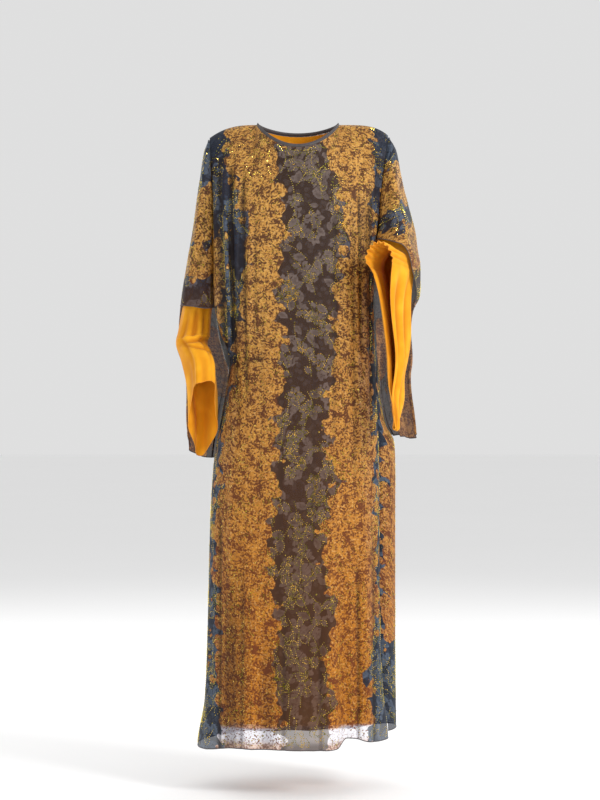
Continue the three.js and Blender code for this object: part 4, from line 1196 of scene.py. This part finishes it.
@dataclass
class Cloth:
    """A grid of points with its flat coordinates and band values, ready to become a mesh."""

    name: str
    points: Array
    outward: float
    flat: Array | None = None
    values: dict[str, Array] = field(default_factory=dict)
    closed: bool = False
    measured_percent: float = 94.0
    least_fill: float = 0.34

    def flatten(self, centre_column: int, level_row: int, level: float) -> None:
        """Works out flat coordinates from the lengths along the grid.

        Args:
            centre_column: The column whose distance across is 0.
            level_row: The row whose distance down is the given level.
            level: That distance, in millimetres.
        """
        across = np.linalg.norm(np.diff(self.points, axis=1), axis=-1)
        u = np.concatenate([np.zeros((len(across), 1)), np.cumsum(across, axis=1)], axis=1)
        u -= u[:, centre_column : centre_column + 1]
        down = np.linalg.norm(np.diff(self.points, axis=0), axis=-1)
        v = np.concatenate([np.zeros((1, down.shape[1])), np.cumsum(down, axis=0)])
        v += level - v[level_row : level_row + 1]
        self.flat = np.stack([u, v], axis=-1)

    def area(self) -> float:
        """The cloth's area in square metres."""
        p = self.points * MM
        a = np.cross(p[:-1, 1:] - p[:-1, :-1], p[1:, :-1] - p[:-1, :-1])
        b = np.cross(p[:-1, 1:] - p[1:, 1:], p[1:, :-1] - p[1:, 1:])
        return float((np.linalg.norm(a, axis=-1).sum() + np.linalg.norm(b, axis=-1).sum()) / 2)

    def cut(self) -> tuple[float, float]:
        """The width and length of the rectangle this cloth is cut from, in metres.

        Both are measured along the surface, passing over the few longest rows and columns. The
        length is held to what makes the area at least 0.34 of the rectangle. That shortens only
        the left lining sleeve's, from 0.666 m.
        """
        p = self.points * MM
        across = np.linalg.norm(np.diff(p, axis=1), axis=-1).sum(axis=1)
        down = np.linalg.norm(np.diff(p, axis=0), axis=-1).sum(axis=0)
        width = np.percentile(across, self.measured_percent)
        length = np.percentile(down, self.measured_percent)
        length = min(length, self.area() / (self.least_fill * width))
        return round(float(width), 3), round(float(length), 3)

    def push(self, height: Array) -> None:
        """Moves each point outwards by its height, in millimetres."""
        self.points = self.points + normals_of(self.points, self.outward) * height[..., None]

    def build(self, material: bpy.types.Material) -> bpy.types.Object:
        """Makes the mesh from a grid whose vertices are moved to the points."""
        rows, columns = self.points.shape[:2]
        bm = bmesh.new()
        bmesh.ops.create_grid(bm, x_segments=columns - 1, y_segments=rows - 1, size=1.0)
        bm.verts.ensure_lookup_table()
        flat_positions = np.array([v.co for v in bm.verts])
        column = np.rint((flat_positions[:, 0] + 1) / 2 * (columns - 1)).astype(int)
        row = np.rint((1 - flat_positions[:, 1]) / 2 * (rows - 1)).astype(int)
        places = self.points[row, column] * MM
        for vert, place in zip(bm.verts, places):
            vert.co = place
        if self.flat is not None:
            layer = bm.loops.layers.uv.new("flat")
            uv = self.flat[row, column] * MM
            for face in bm.faces:
                for loop in face.loops:
                    loop[layer].uv = uv[loop.vert.index]
        for name, grid in self.values.items():
            layer = bm.verts.layers.float.new(name)
            for vert, value in zip(bm.verts, grid[row, column].tolist()):
                vert[layer] = value
        if self.closed:
            bmesh.ops.remove_doubles(bm, verts=bm.verts[:], dist=1e-6)
        self.turn_out(bm)
        made = add_mesh(self.name, bm, material)
        made.data.shade_smooth()
        return made

    def turn_out(self, bm: bmesh.types.BMesh) -> None:
        """Turns the faces so that they point outwards."""
        normals = normals_of(self.points, self.outward)
        middle = (self.points.shape[0] // 2, self.points.shape[1] // 2)
        wanted = Vector(normals[middle])
        place = Vector(self.points[middle] * MM)
        nearest = min(bm.faces, key=lambda f: (f.calc_center_median() - place).length_squared)
        nearest.normal_update()
        if nearest.normal.dot(wanted) < 0:
            bmesh.ops.reverse_faces(bm, faces=bm.faces[:])


def tube_along(line: Array, radii: tuple[float, float], up: Array, closed: bool, name: str) -> Cloth:
    """A thin tube along a line of points, such as a rolled edge.

    Args:
        line: The points, in millimetres.
        radii: The half width along up and across it.
        up: A direction at each point, roughly square to the line.
        closed: Whether the line comes back to its start.
        name: The piece's name.

    Returns:
        The tube as a grid, once round along its columns.
    """
    sides = 8
    if closed:
        along = np.roll(line, -1, axis=0) - np.roll(line, 1, axis=0)
    else:
        along = np.gradient(line, axis=0)
    along /= np.linalg.norm(along, axis=1, keepdims=True)
    across = np.cross(along, up)
    across /= np.linalg.norm(across, axis=1, keepdims=True)
    upright = np.cross(across, along)
    turn = np.linspace(0, 2 * math.pi, sides + 1)
    points = (
        line[:, None, :]
        + radii[0] * np.cos(turn)[None, :, None] * upright[:, None, :]
        + radii[1] * np.sin(turn)[None, :, None] * across[:, None, :]
    )
    if closed:
        points = np.concatenate([points, points[:1]])
    return Cloth(name, points, 1.0, closed=True)


def lower_edge(cloth: Cloth, radii: tuple[float, float], name: str) -> Cloth:
    """The rolled edge along the lower edge of a piece."""
    up = normals_of(cloth.points, cloth.outward)[-1]
    return tube_along(cloth.points[-1], radii, up, False, name)


# Edges of the print's gold bands on the front, in x by level.
BAND_EDGES = Table(
    "z lo li ri ro",
    [
        (-20, -166, -60, 52, 168),
        (-70, -162, -40, 60, 170),
        (-130, -150, -42, 88, 176),
        (-200, -128, -32, 96, 174),
        (-270, -114, -28, 106, 172),
        (-380, -130, -44, 84, 174),
        (-500, -142, -32, 83, 168),
        (-610, -158, -40, 70, 170),
        (-720, -172, -48, 68, 174),
        (-830, -182, -45, 84, 178),
        (-930, -194, -64, 54, 182),
        (-1010, -191, -64, 60, 182),
        (-1120, -182, -45, 80, 184),
        (-1230, -190, -54, 60, 162),
        (-1300, -182, -46, 82, 166),
        (-1420, -168, -34, 68, 168),
    ],
)


def front_bands(points: Array) -> Array:
    """How far inside a gold band each point of the front is, in millimetres."""
    x, z = points[..., 0], points[..., 2]
    left = np.minimum(x - BAND_EDGES.at("lo", z), BAND_EDGES.at("li", z) - x)
    right = np.minimum(x - BAND_EDGES.at("ri", z), BAND_EDGES.at("ro", z) - x)
    under_arm = np.minimum(-172 + 0.02 * (z + 300) - x, np.minimum(-262 - z, z + 540))
    return np.maximum(np.maximum(left, right), under_arm)


def back_bands(points: Array) -> Array:
    """How far inside a gold band each point of the back is, in millimetres."""
    x, z = points[..., 0], points[..., 2]
    left = np.minimum(-x + BAND_EDGES.at("li", z) * 1.2, x + 0.94 * BAND_EDGES.at("ro", z))
    right = np.minimum(x - 0.8 * BAND_EDGES.at("ri", z), 0.92 * BAND_EDGES.at("ro", z) - x)
    strip = np.minimum(np.minimum(x - 190, 44 - points[..., 1]), z + 1190)
    return np.maximum(np.maximum(left, right), strip)


def wing_bands(side: str, points: Array) -> Array:
    """How far inside a gold band each point of a wing is, in millimetres."""
    x, z = points[..., 0], points[..., 2]
    if side == "right":
        bands = [(-150, -268), (-284, -356), (-470, -620)]
        level = z
    else:
        bands = [(-88, -186), (-240, -352), (-430, -560)]
        level = z - 0.45 * (x - 236)
    return np.max([np.minimum(top - level, level - low) for top, low in bands], axis=0)


# Where the wings come loose from the arms and hang as two layers.
LOOSE_FROM = {"right": -330.0, "left": -262.0}


@dataclass(frozen=True)
class PrintMap:
    """Where the print is gold, navy, deeper in tone, bare below the lining, or doubled.

    A piece's values are lengths in metres, or go from 0 to 1.
    """

    middle_from: float = 84.0
    side_from: float = 128.0
    tone_from: float = -220.0
    tone_to: float = -1300.0
    bare_above: float = 2.0
    bare_fade: float = 6.0
    hem_print_from: float = -1390.0
    hem_print_fade: float = 18.0
    hem_print: float = 0.8
    loose_fade: float = 65.0
    pale_edge_from: float = 0.93
    pale_edge: float = 0.7
    flap_from: float = -396.0
    flap_share: float = 0.34
    flap_width: float = 90.0

    def apply(self, cloth: Cloth, bands: Array, crease_shade: Array) -> None:
        """Gives a piece its vertex values.

        Args:
            cloth: The piece.
            bands: How far inside a gold band each point is, in millimetres.
            crease_shade: How much painted shade each point gets for lying in a fold or crease, from 0
                to 1.
        """
        x, z = cloth.points[..., 0], cloth.points[..., 2]
        apart = (np.abs(x) - self.middle_from) / (self.side_from - self.middle_from)
        lower = (self.tone_from - z) / (self.tone_from - self.tone_to)
        bare = smooth((LINING_HEM_LEVEL + self.bare_above - z) / self.bare_fade)
        printed = self.hem_print * smooth((self.hem_print_from - z) / self.hem_print_fade)
        cloth.values = {
            "gold": bands * MM,
            "side": smooth(apart),
            "lowness": smooth(lower),
            "bare": bare * (1 - printed),
            # painted shade of folds and creases, from 0 to 1
            "crease_shade": np.clip(crease_shade, 0, 1),
            "dense": np.zeros_like(z),
        }

    def double(self, cloth: Cloth, side: str, face: Face, z: Array) -> None:
        """Changes a wing's values where it hangs loose as one of two layers.

        Args:
            cloth: The layer.
            side: The wearer's side.
            face: Whether it is the front or the rear layer.
            z: The level of each point, without its creases.
        """
        share = np.linspace(0, 1, z.shape[1])[None, :]
        hanging = smooth((LOOSE_FROM[side] - z) / self.loose_fade)
        values = cloth.values
        values["dense"] = hanging
        values["bare"] = self.pale_edge * smooth((share - self.pale_edge_from) / 0.05) * hanging
        if face is Face.BACK:
            flap = np.minimum((share - self.flap_share) * self.flap_width, self.flap_from - z)
            values["gold"] = np.maximum(values["gold"], flap * MM)
        values["side"] = 1 - 0.75 * hanging
        values["lowness"] = np.maximum(values["lowness"], 0.55 * hanging)


@dataclass(frozen=True)
class Leaf:
    """One leaf or petal on the flat cloth: where it starts, its heading and its length."""

    x: float
    y: float
    heading: float
    length: float
    fullness: float

    def half_width(self, t: Array) -> Array:
        """Half its width at a share t of its length."""
        rounded = np.sin(math.pi * np.clip(t, 0, 1) ** 0.85)
        return self.fullness * self.length * np.maximum(rounded, 0) ** 0.75

    def rim(self, gap: float) -> list[tuple[float, float]]:
        """Places along its outline, about this far apart."""
        count = max(4, round(self.length * 1.08 / gap))
        t = np.linspace(0, 1, count + 1)
        wide = self.half_width(t)
        c, s = math.cos(self.heading), math.sin(self.heading)
        found = []
        for sign in (-1, 1):
            a, b = t * self.length, sign * wide
            found += list(zip(self.x + a * c - b * s, self.y + a * s + b * c))
        return found

    def depth(self, u: Array, v: Array) -> Array:
        """How far inside the leaf each flat point is; under 0 outside it."""
        c, s = math.cos(self.heading), math.sin(self.heading)
        a = (u - self.x) * c + (v - self.y) * s
        b = -(u - self.x) * s + (v - self.y) * c
        t = a / self.length
        past = np.maximum(-a, a - self.length)
        return np.where(past > 0, -np.hypot(past, b), self.half_width(t) - np.abs(b))


@dataclass
class Sprays:
    """Curved stems with leaves and flowers, strewn evenly over the flat cloth."""

    rng: np.random.Generator
    pitch_u: float = 37.0
    pitch_v: float = 39.0
    jitter: float = 0.42
    upward_share: float = 0.6
    gap_mm: float = 5.0
    stem_mm: tuple[float, float] = (32, 66)
    leaf_mm: tuple[float, float] = (19, 33)
    petal_mm: tuple[float, float] = (12, 19)
    outline_mm: float = -1.8  # the dark rim round a leaf that lies over another
    margin_mm: float = 14.0
    leaves: list[Leaf] = field(default_factory=list)
    dots: list[tuple[float, float]] = field(default_factory=list)

    def grow(self, x: float, y: float) -> None:
        """Grows one spray from a place on the cloth."""
        rng = self.rng
        heading = rng.uniform(-0.8, 0.8)
        heading += math.pi / 2 if rng.random() < self.upward_share else -math.pi / 2
        bend = rng.uniform(-0.014, 0.014)
        steps = round(rng.uniform(*self.stem_mm) / self.gap_mm)
        every = max(3, steps // int(rng.integers(2, 4)))
        for i in range(steps):
            self.dots.append((x, y))
            if i % every == 1:
                turn = rng.uniform(0.6, 1.1) * (1 if (i // every) % 2 else -1)
                self.leaves.append(Leaf(x, y, heading + turn, rng.uniform(*self.leaf_mm), 0.3))
            heading += bend * self.gap_mm
            x += self.gap_mm * math.cos(heading)
            y += self.gap_mm * math.sin(heading)
        petals = int(rng.integers(4, 7))
        size = rng.uniform(*self.petal_mm)
        for k in range(petals):
            turn = heading + 2 * math.pi * (k + rng.uniform(-0.12, 0.12)) / petals
            start = (x + 2 * math.cos(turn), y + 2 * math.sin(turn))
            self.leaves.append(Leaf(*start, turn, size * rng.uniform(0.85, 1.15), 0.36))

    def strew(self, cloth: Cloth) -> None:
        """Grows sprays on a jittered grid over a whole piece, by its flat coordinates."""
        u, v = cloth.flat[..., 0], cloth.flat[..., 1]
        for y in np.arange(float(v.min()), float(v.max()), self.pitch_v):
            for x in np.arange(float(u.min()), float(u.max()), self.pitch_u):
                shift = self.rng.uniform(-self.jitter, self.jitter, 2)
                self.grow(x + shift[0] * self.pitch_u, y + shift[1] * self.pitch_v)

    def mask(self, cloth: Cloth) -> Array:
        """How far inside a leaf each vertex of the piece is, in millimetres."""
        u, v = cloth.flat[..., 0], cloth.flat[..., 1]
        rows, columns = u.shape
        middle = columns // 2
        found = np.full_like(u, -20.0)
        for leaf in self.leaves:
            reach = leaf.length + self.margin_mm
            r0 = max(int(np.searchsorted(v[:, middle], leaf.y - reach)) - 1, 0)
            r1 = min(int(np.searchsorted(v[:, middle], leaf.y + reach)) + 1, rows)
            if r1 - r0 < 2:
                continue
            line = u[(r0 + r1) // 2]
            c0 = max(int(np.searchsorted(line, leaf.x - reach)) - 2, 0)
            c1 = min(int(np.searchsorted(line, leaf.x + reach)) + 2, columns)
            if c1 - c0 < 2:
                continue
            part = (slice(r0, r1), slice(c0, c1))
            depth = leaf.depth(u[part], v[part])
            found[part] = np.where(depth > self.outline_mm, depth, found[part])
        return found


@dataclass
class Stones:
    """Heat-set stones on the stems and round the leaves, and a few larger ones strewn about."""

    rng: np.random.Generator
    radius_mm: float = 1.3
    height: float = 0.8
    raised: float = 0.45
    sides: int = 5
    gap_mm: float = 5.0
    closest_mm: float = 2.8
    rimmed_share: float = 0.32
    large_per_m2: float = 260.0
    large: tuple[float, float] = (1.3, 1.9)
    # stones of the usual size are mostly left out this far inside a gold band, in metres
    gold_from: float = 0.004
    left_out: float = 0.58
    # bare margins at the sides, the top and the lower edge
    side_mm: float = 4.0
    top_mm: float = 5.0
    low_mm: float = 6.0

    def spots(self, cloth: Cloth, sprays: Sprays) -> list[tuple[float, float, float]]:
        """Flat places and sizes of the stones of one piece."""
        found = [(x, y, 1.0) for x, y in sprays.dots]
        for leaf in sprays.leaves:
            if self.rng.random() < self.rimmed_share:
                found += [(x, y, 1.0) for x, y in leaf.rim(self.gap_mm)]
        u, v = cloth.flat[..., 0], cloth.flat[..., 1]
        for _ in range(round(cloth.area() * self.large_per_m2)):
            x = self.rng.uniform(u.min(), u.max())
            y = self.rng.uniform(v.min(), v.max())
            found.append((x, y, self.rng.uniform(*self.large)))
        return found

    def lay(self, cloth: Cloth, sprays: Sprays) -> Array:
        """Places of the stones on one piece of cloth.

        Args:
            cloth: The piece, with its flat coordinates and its gold bands.
            sprays: The stems and leaves on it.

        Returns:
            One row a stone: x, y, z in millimetres, the normal and the size.
        """
        u, v = cloth.flat[..., 0], cloth.flat[..., 1]
        gold = cloth.values["gold"]
        middle = u.shape[1] // 2
        normals = normals_of(cloth.points, cloth.outward)
        rows, columns = np.arange(u.shape[0]), np.arange(u.shape[1])
        placed: list[Array] = []
        used: set[tuple[int, int]] = set()
        for x, y, size in self.spots(cloth, sprays):
            cell = (round(x / self.closest_mm), round(y / self.closest_mm))
            if cell in used:
                continue
            used.add(cell)
            r = float(np.interp(y, v[:, middle], rows))
            r0 = min(int(r), u.shape[0] - 2)
            line = mix(u[r0], u[r0 + 1], r - r0)
            if not line[0] + self.side_mm < x < line[-1] - self.side_mm:
                continue
            if not v[0, middle] + self.top_mm < y < v[-1, middle] - self.low_mm:
                continue
            c = float(np.interp(x, line, columns))
            c0 = min(int(c), u.shape[1] - 2)
            usual_in_gold = size == 1.0 and gold[r0, c0] > self.gold_from
            if usual_in_gold and self.rng.random() < self.left_out:
                continue
            fr, fc = r - r0, c - c0
            corners = [(0, 0, (1 - fr) * (1 - fc)), (0, 1, (1 - fr) * fc)]
            corners += [(1, 0, fr * (1 - fc)), (1, 1, fr * fc)]
            spot = sum(w * cloth.points[r0 + i, c0 + j] for i, j, w in corners)
            facing = sum(w * normals[r0 + i, c0 + j] for i, j, w in corners)
            placed.append(np.concatenate([spot, facing, [size]]))
        return np.array(placed)

    def build(self, name: str, places: Array, material: bpy.types.Material) -> bpy.types.Object:
        """Makes one mesh of all the stones of a piece, each a copy of one cut stone."""
        size = self.radius_mm * MM
        cut = bmesh.new()
        bmesh.ops.create_cone(
            cut, cap_ends=True, segments=self.sides, radius1=size, radius2=0.0, depth=size * self.height
        )
        stone = bpy.data.meshes.new(name + "_cut")
        cut.to_mesh(stone)
        cut.free()
        everything = bmesh.new()
        for row in places:
            scale = float(row[6])
            normal = Vector(row[3:6]).normalized()
            turn = normal.to_track_quat("Z", "Y").to_matrix().to_4x4()
            spot = Vector(row[:3]) * MM + normal * (size * scale * self.raised)
            matrix = Matrix.Translation(spot) @ turn @ Matrix.Scale(scale, 4)
            stone.transform(matrix)
            everything.from_mesh(stone)
            stone.transform(matrix.inverted())
        bpy.data.meshes.remove(stone)
        return add_mesh(name, everything, material)


@dataclass
class Finishes:
    """The garment's materials, made once."""

    printed: bpy.types.Material
    chiffon: bpy.types.Material
    edge: bpy.types.Material
    chiffon_edge: bpy.types.Material
    stones: bpy.types.Material

    @classmethod
    def make(cls) -> "Finishes":
        """Builds every finish."""
        kinds = (PrintedGeorgette, OrangeChiffon, GeorgetteEdge, ChiffonEdge, FoiledGlass)
        return cls(*(kind().material() for kind in kinds))


def place(piece: bpy.types.Object, layer: Layer, *nodes: str) -> bpy.types.Object:
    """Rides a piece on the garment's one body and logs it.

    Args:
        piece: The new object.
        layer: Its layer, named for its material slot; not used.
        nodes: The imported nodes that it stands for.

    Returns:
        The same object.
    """
    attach(piece, "root")
    if nodes:
        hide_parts(*nodes)
    LOG.info("%s: %d triangles", piece.name, sum(len(p.vertices) - 2 for p in piece.data.polygons))
    return piece


@dataclass
class Shell:
    """The sheer printed shell: two panels, four wing layers, their rolled edges and stones."""

    finishes: Finishes
    columns: int = 168
    yoke_rows: int = 56
    rows: int = 270
    wing_columns: int = 56
    front_wing_rows: int = 110
    rear_wing_rows: int = 170
    rear_wing_waves: float = 9.0
    wing_start: tuple[float, float] = (205.0, 40.0)  # flat place of a wing's inner top corner
    edge_radii: tuple[float, float] = (0.8, 1.1)
    seed: int = 11

    def crease_shade(self, cloth: Cloth, face: Face) -> Array:
        """Lays the finer folds and creases into a body panel.

        Args:
            cloth: The panel.
            face: Which panel it is.

        Returns:
            How much painted shade each point gets for lying in a fold, from 0 to 1.
        """
        points = cloth.points
        x, z = points[..., 0], points[..., 2]
        fine = sum(f.height(x, z) for f in SMALL_FOLDS[face])
        fine = fine + sum(c.height(x, z) for c in CREASES[face])
        main = sum(f.height(x, z) for f in MAIN_FOLDS[face])
        rows, columns = x.shape
        column = np.linspace(0, 1, columns)[None, :]
        row = np.linspace(0, 1, rows)[:, None]
        kept = smooth(column * 14) * smooth((1 - column) * 14) * smooth(row * 30)
        cloth.push(fine * kept)
        # painted shade: darker in the troughs of the finer folds and of the main folds
        return np.clip((-fine - 0.8) / 3.4, 0, 0.9) + np.clip((-main - 2.2) / 7.5, 0, 0.8)

    def panel(self, face: Face) -> Cloth:
        """The front or the back as a grid."""
        shape = FRONT_SHAPE if face is Face.FRONT else BACK_SHAPE
        points = shape.grid(self.columns, self.yoke_rows, self.rows)
        cloth = Cloth(f"cloth_{face.word}", points, float(face.value))
        shade = self.crease_shade(cloth, face)
        centre = round(self.columns * shape.main_columns / 2 / shape.columns)
        cloth.flatten(centre, self.yoke_rows, -BUST_LEVEL)
        bands = front_bands(points) if face is Face.FRONT else back_bands(points)
        PrintMap().apply(cloth, bands, shade)
        return cloth

    def wing(self, side: str, face: Face) -> Cloth:
        """One layer of a wing as a grid."""
        front = face is Face.FRONT
        rows = self.front_wing_rows if front else self.rear_wing_rows
        shape = WingShape(side, face, 0.0 if front else self.rear_wing_waves)
        points = shape.grid(self.wing_columns, rows)
        outward = -float(face.value) if side == "right" else float(face.value)
        cloth = Cloth(f"cloth_sleeve_{face.word}_{side}", points, outward)
        shade = self.crease_wing(cloth, side, face)
        cloth.flatten(0, 0, self.wing_start[1])
        cloth.flat[..., 0] += self.wing_start[0]
        PrintMap().apply(cloth, wing_bands(side, points), shade)
        PrintMap().double(cloth, side, face, points[..., 2])
        return cloth

    @staticmethod
    def crease_wing(cloth: Cloth, side: str, face: Face) -> Array:
        """Long soft folds down a wing, and slack ones across it near the elbow.

        Args:
            cloth: The layer.
            side: The wearer's side.
            face: Whether it is the front or the rear layer.

        Returns:
            How much painted shade each point gets for lying in a fold, from 0 to 1.
        """
        rows, columns = cloth.points.shape[:2]
        share = np.linspace(0, 1, columns)[None, :]
        z = cloth.points[..., 2]
        phase = 0.6 if side == "right" else 2.1
        long = 3.0 * np.sin(13 * share + phase + z / 160) * smooth((-60 - z) / 120)
        slack = 2.4 * np.sin(z / 13 + 6 * share + phase) * np.exp(-(((z + 300) / 70) ** 2))
        ripple = 0.0
        if face is Face.BACK:
            ripple = 3.6 * np.sin(24 * share + z / 60) * smooth((-430 - z) / 180)
        kept = smooth(share * 9) * smooth((1 - share) * 9)
        kept = kept * smooth(np.linspace(0, 8, rows))[:, None]
        push = (long + slack + ripple) * kept
        cloth.push(push)
        # painted shade: darker in the troughs of the wing's folds
        return np.clip((-push - 1.4) / 6.0, 0, 0.5)

    def hang(self, cloth: Cloth, node_name: str, rng: np.random.Generator) -> None:
        """Makes one piece of the shell with its leaves, its rolled edge and its stones.

        Args:
            cloth: The piece.
            node_name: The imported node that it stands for.
            rng: The source of chance.
        """
        sprays = Sprays(rng)
        sprays.strew(cloth)
        cloth.values["leaf"] = sprays.mask(cloth) * MM
        stones = Stones(rng)
        spots = stones.lay(cloth, sprays)
        piece = place(cloth.build(self.finishes.printed), Layer.SHELL, node_name)
        edge = lower_edge(cloth, self.edge_radii, f"rolled_edge_{node_name}")
        trim = place(edge.build(self.finishes.edge), Layer.BINDING)
        set_on = stones.build(f"stones_{node_name}", spots, self.finishes.stones)
        place(set_on, Layer.SHELL)

    def build(self) -> None:
        """Makes every piece of the shell."""
        rng = np.random.default_rng(self.seed)
        for face in Face:
            self.hang(self.panel(face), face.word, rng)
        for side in ("right", "left"):
            for face in Face:
                self.hang(self.wing(side, face), f"sleeve_{face.word}_{side}", rng)
        NeckBinding().build(self.finishes.edge)


@dataclass(frozen=True)
class NeckBinding:
    """The narrow bound edge of the round neck, lowered a little at the neck points."""

    radii: tuple[float, float] = (4.0, 1.6)
    points: int = 160
    inset: float = 1.8
    above: float = 3.6
    lowered: float = 2.4
    lean_in: float = 0.35

    def build(self, material: bpy.types.Material) -> None:
        """Makes the binding once round the neck."""
        turn = np.linspace(0, 2 * math.pi, self.points + 1)[:-1]
        c, s = np.cos(turn), np.sin(turn)
        depth, drop = (
            np.where(s < 0, front, back) for front, back in zip(NECK[Face.FRONT], NECK[Face.BACK])
        )
        away = np.stack([-c, s, np.zeros_like(turn)], axis=-1)
        level = -drop * np.abs(s) ** 1.5 + self.above - self.lowered * np.abs(c) ** 8
        line = np.stack([-NECK_HALF_WIDTH * c, depth * s, level], axis=-1) - self.inset * away
        up = np.array([0.0, 0.0, 1.0]) - self.lean_in * away
        band = tube_along(line, self.radii, up, True, "neck_bound_edge")
        place(band.build(material), Layer.BINDING, "neck_binding")


@dataclass
class Lining:
    """The plain orange slip and its wide sleeves."""

    finishes: Finishes
    columns: int = 84
    yoke_rows: int = 26
    rows: int = 130
    around: int = 132
    along: int = 210
    hem_radii: tuple[float, float] = (0.7, 1.0)
    deepest_crease: float = 5.5

    def hang(self, cloth: Cloth, node_name: str, hem: Cloth) -> None:
        """Makes one piece of the lining with its narrow hem.

        Args:
            cloth: The piece.
            node_name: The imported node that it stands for.
            hem: Its rolled edge.
        """
        piece = place(cloth.build(self.finishes.chiffon), Layer.LINING, node_name)
        place(hem.build(self.finishes.chiffon_edge), Layer.LINING)

    def slip(self, face: Face) -> None:
        """The lining's front or back."""
        points = SlipShape(face).grid(self.columns, self.yoke_rows, self.rows)
        cloth = Cloth(f"chiffon_{face.word}", points, float(face.value))
        x, z = points[..., 0], points[..., 2]
        waves = 2.2 * np.sin(x / 11 + 1.3) + 1.6 * np.sin(x / 6.3 + z / 240)
        column = np.linspace(0, 1, x.shape[1])[None, :]
        kept = smooth(column * 8) * smooth((1 - column) * 8) * smooth((-260 - z) / 260)
        cloth.push(waves * kept)
        cloth.flatten(self.columns // 2, self.yoke_rows, -SlipShape(face).armhole_bottom)
        hem = lower_edge(cloth, self.hem_radii, f"chiffon_hem_{face.word}")
        self.hang(cloth, f"lining_{face.word}", hem)

    def sleeve(self, side: str) -> None:
        """One of the lining's sleeves."""
        shape = SleeveShape(side, self.around, self.along)
        points = shape.grid()
        outward = 1.0 if side == "right" else -1.0
        cloth = Cloth(f"chiffon_sleeve_{side}", points, outward, closed=True)
        # painted shade, deepest in the troughs of the sleeve's creases
        cloth.values = {"valley_shade": np.clip(-shape.creases() / self.deepest_crease, 0, 1)}
        cloth.flatten(0, 0, 0.0)
        mouth = points[-1, :-1]
        up = mouth - points[-1].mean(axis=0)
        up /= np.linalg.norm(up, axis=-1, keepdims=True)
        hem = tube_along(mouth, self.hem_radii, up, True, f"chiffon_mouth_{side}")
        self.hang(cloth, f"lining_sleeve_{side}", hem)

    def build(self) -> None:
        """Makes every piece of the lining."""
        for face in Face:
            self.slip(face)
        for side in ("right", "left"):
            self.sleeve(side)


@dataclass(frozen=True)
class Lamp:
    """One soft square light: where it stands, the length of its side and its power."""

    name: str
    spot: tuple[float, float, float]
    side: float
    watts: float

    def build(self, aim: Vector) -> None:
        """Stands the light so that it faces the aim."""
        data = bpy.data.lights.new(self.name, "AREA")
        data.size = self.side
        data.energy = self.watts
        made = add_object(self.name, data)
        made.location = self.spot
        made.rotation_euler = (aim - Vector(self.spot)).to_track_quat("-Z", "Y").to_euler()


@dataclass
class Studio:
    """A pale floor, soft light and the camera at the viewer's place, in metres."""

    floor_z: float = -1.52
    floor_size: float = 30.0
    floor_tones: tuple[str, str] = ("fafafa", "fcfcfc")
    aim: tuple[float, float, float] = (0.0, 0.0, -0.7)
    sky_strength: float = 0.74
    camera_spot: tuple[float, float, float] = (0.0046, -5.0, -0.6325)
    lens: float = 97.83
    sensor: float = 36.0
    lamps: tuple[Lamp, ...] = (
        Lamp("key", (3.1, -2.6, 1.3), 1.3, 120.0),
        Lamp("fill", (-3.2, -3.0, 0.2), 2.2, 22.0),
        Lamp("rear_left", (-2.6, 2.8, 1.2), 2.0, 40.0),
        Lamp("rear_right", (2.6, 2.8, 1.2), 2.0, 40.0),
    )

    def floor(self) -> None:
        """A wide pale floor."""
        g = Graph("pale_matt_floor")
        tone = g.blend(g.noise(g.position(), 900.0, 2.0), *map(colour, self.floor_tones))
        bm = bmesh.new()
        level = Matrix.Translation((0, 0, self.floor_z))
        bmesh.ops.create_grid(bm, x_segments=4, y_segments=4, size=self.floor_size, matrix=level)
        add_mesh("floor", bm, g.finish(Base_Color=tone, Roughness=0.9))

    def build(self) -> None:
        """Sets the floor, the lights, the sky and the camera."""
        self.floor()
        for lamp in self.lamps:
            lamp.build(Vector(self.aim))
        scene = bpy.context.scene
        scene.world = bpy.data.worlds.new("studio")
        scene.world.use_nodes = True
        sky = scene.world.node_tree.nodes["Background"].inputs
        sky["Color"].default_value = (1, 1, 1, 1)
        sky["Strength"].default_value = self.sky_strength
        scene.view_settings.view_transform = "Standard"
        data = bpy.data.cameras.new("camera")
        data.lens = self.lens
        data.sensor_width = self.sensor
        scene.camera = add_object("camera", data)
        scene.camera.location = self.camera_spot
        scene.camera.rotation_euler = (math.pi / 2, 0, 0)


def main() -> None:
    """Builds the garment and its studio."""
    logging.basicConfig(level=logging.INFO, format="%(name)s: %(message)s")
    finishes = Finishes.make()
    Studio().build()
    Lining(finishes).build()
    Shell(finishes).build()


if __name__ == "__main__":
    main()
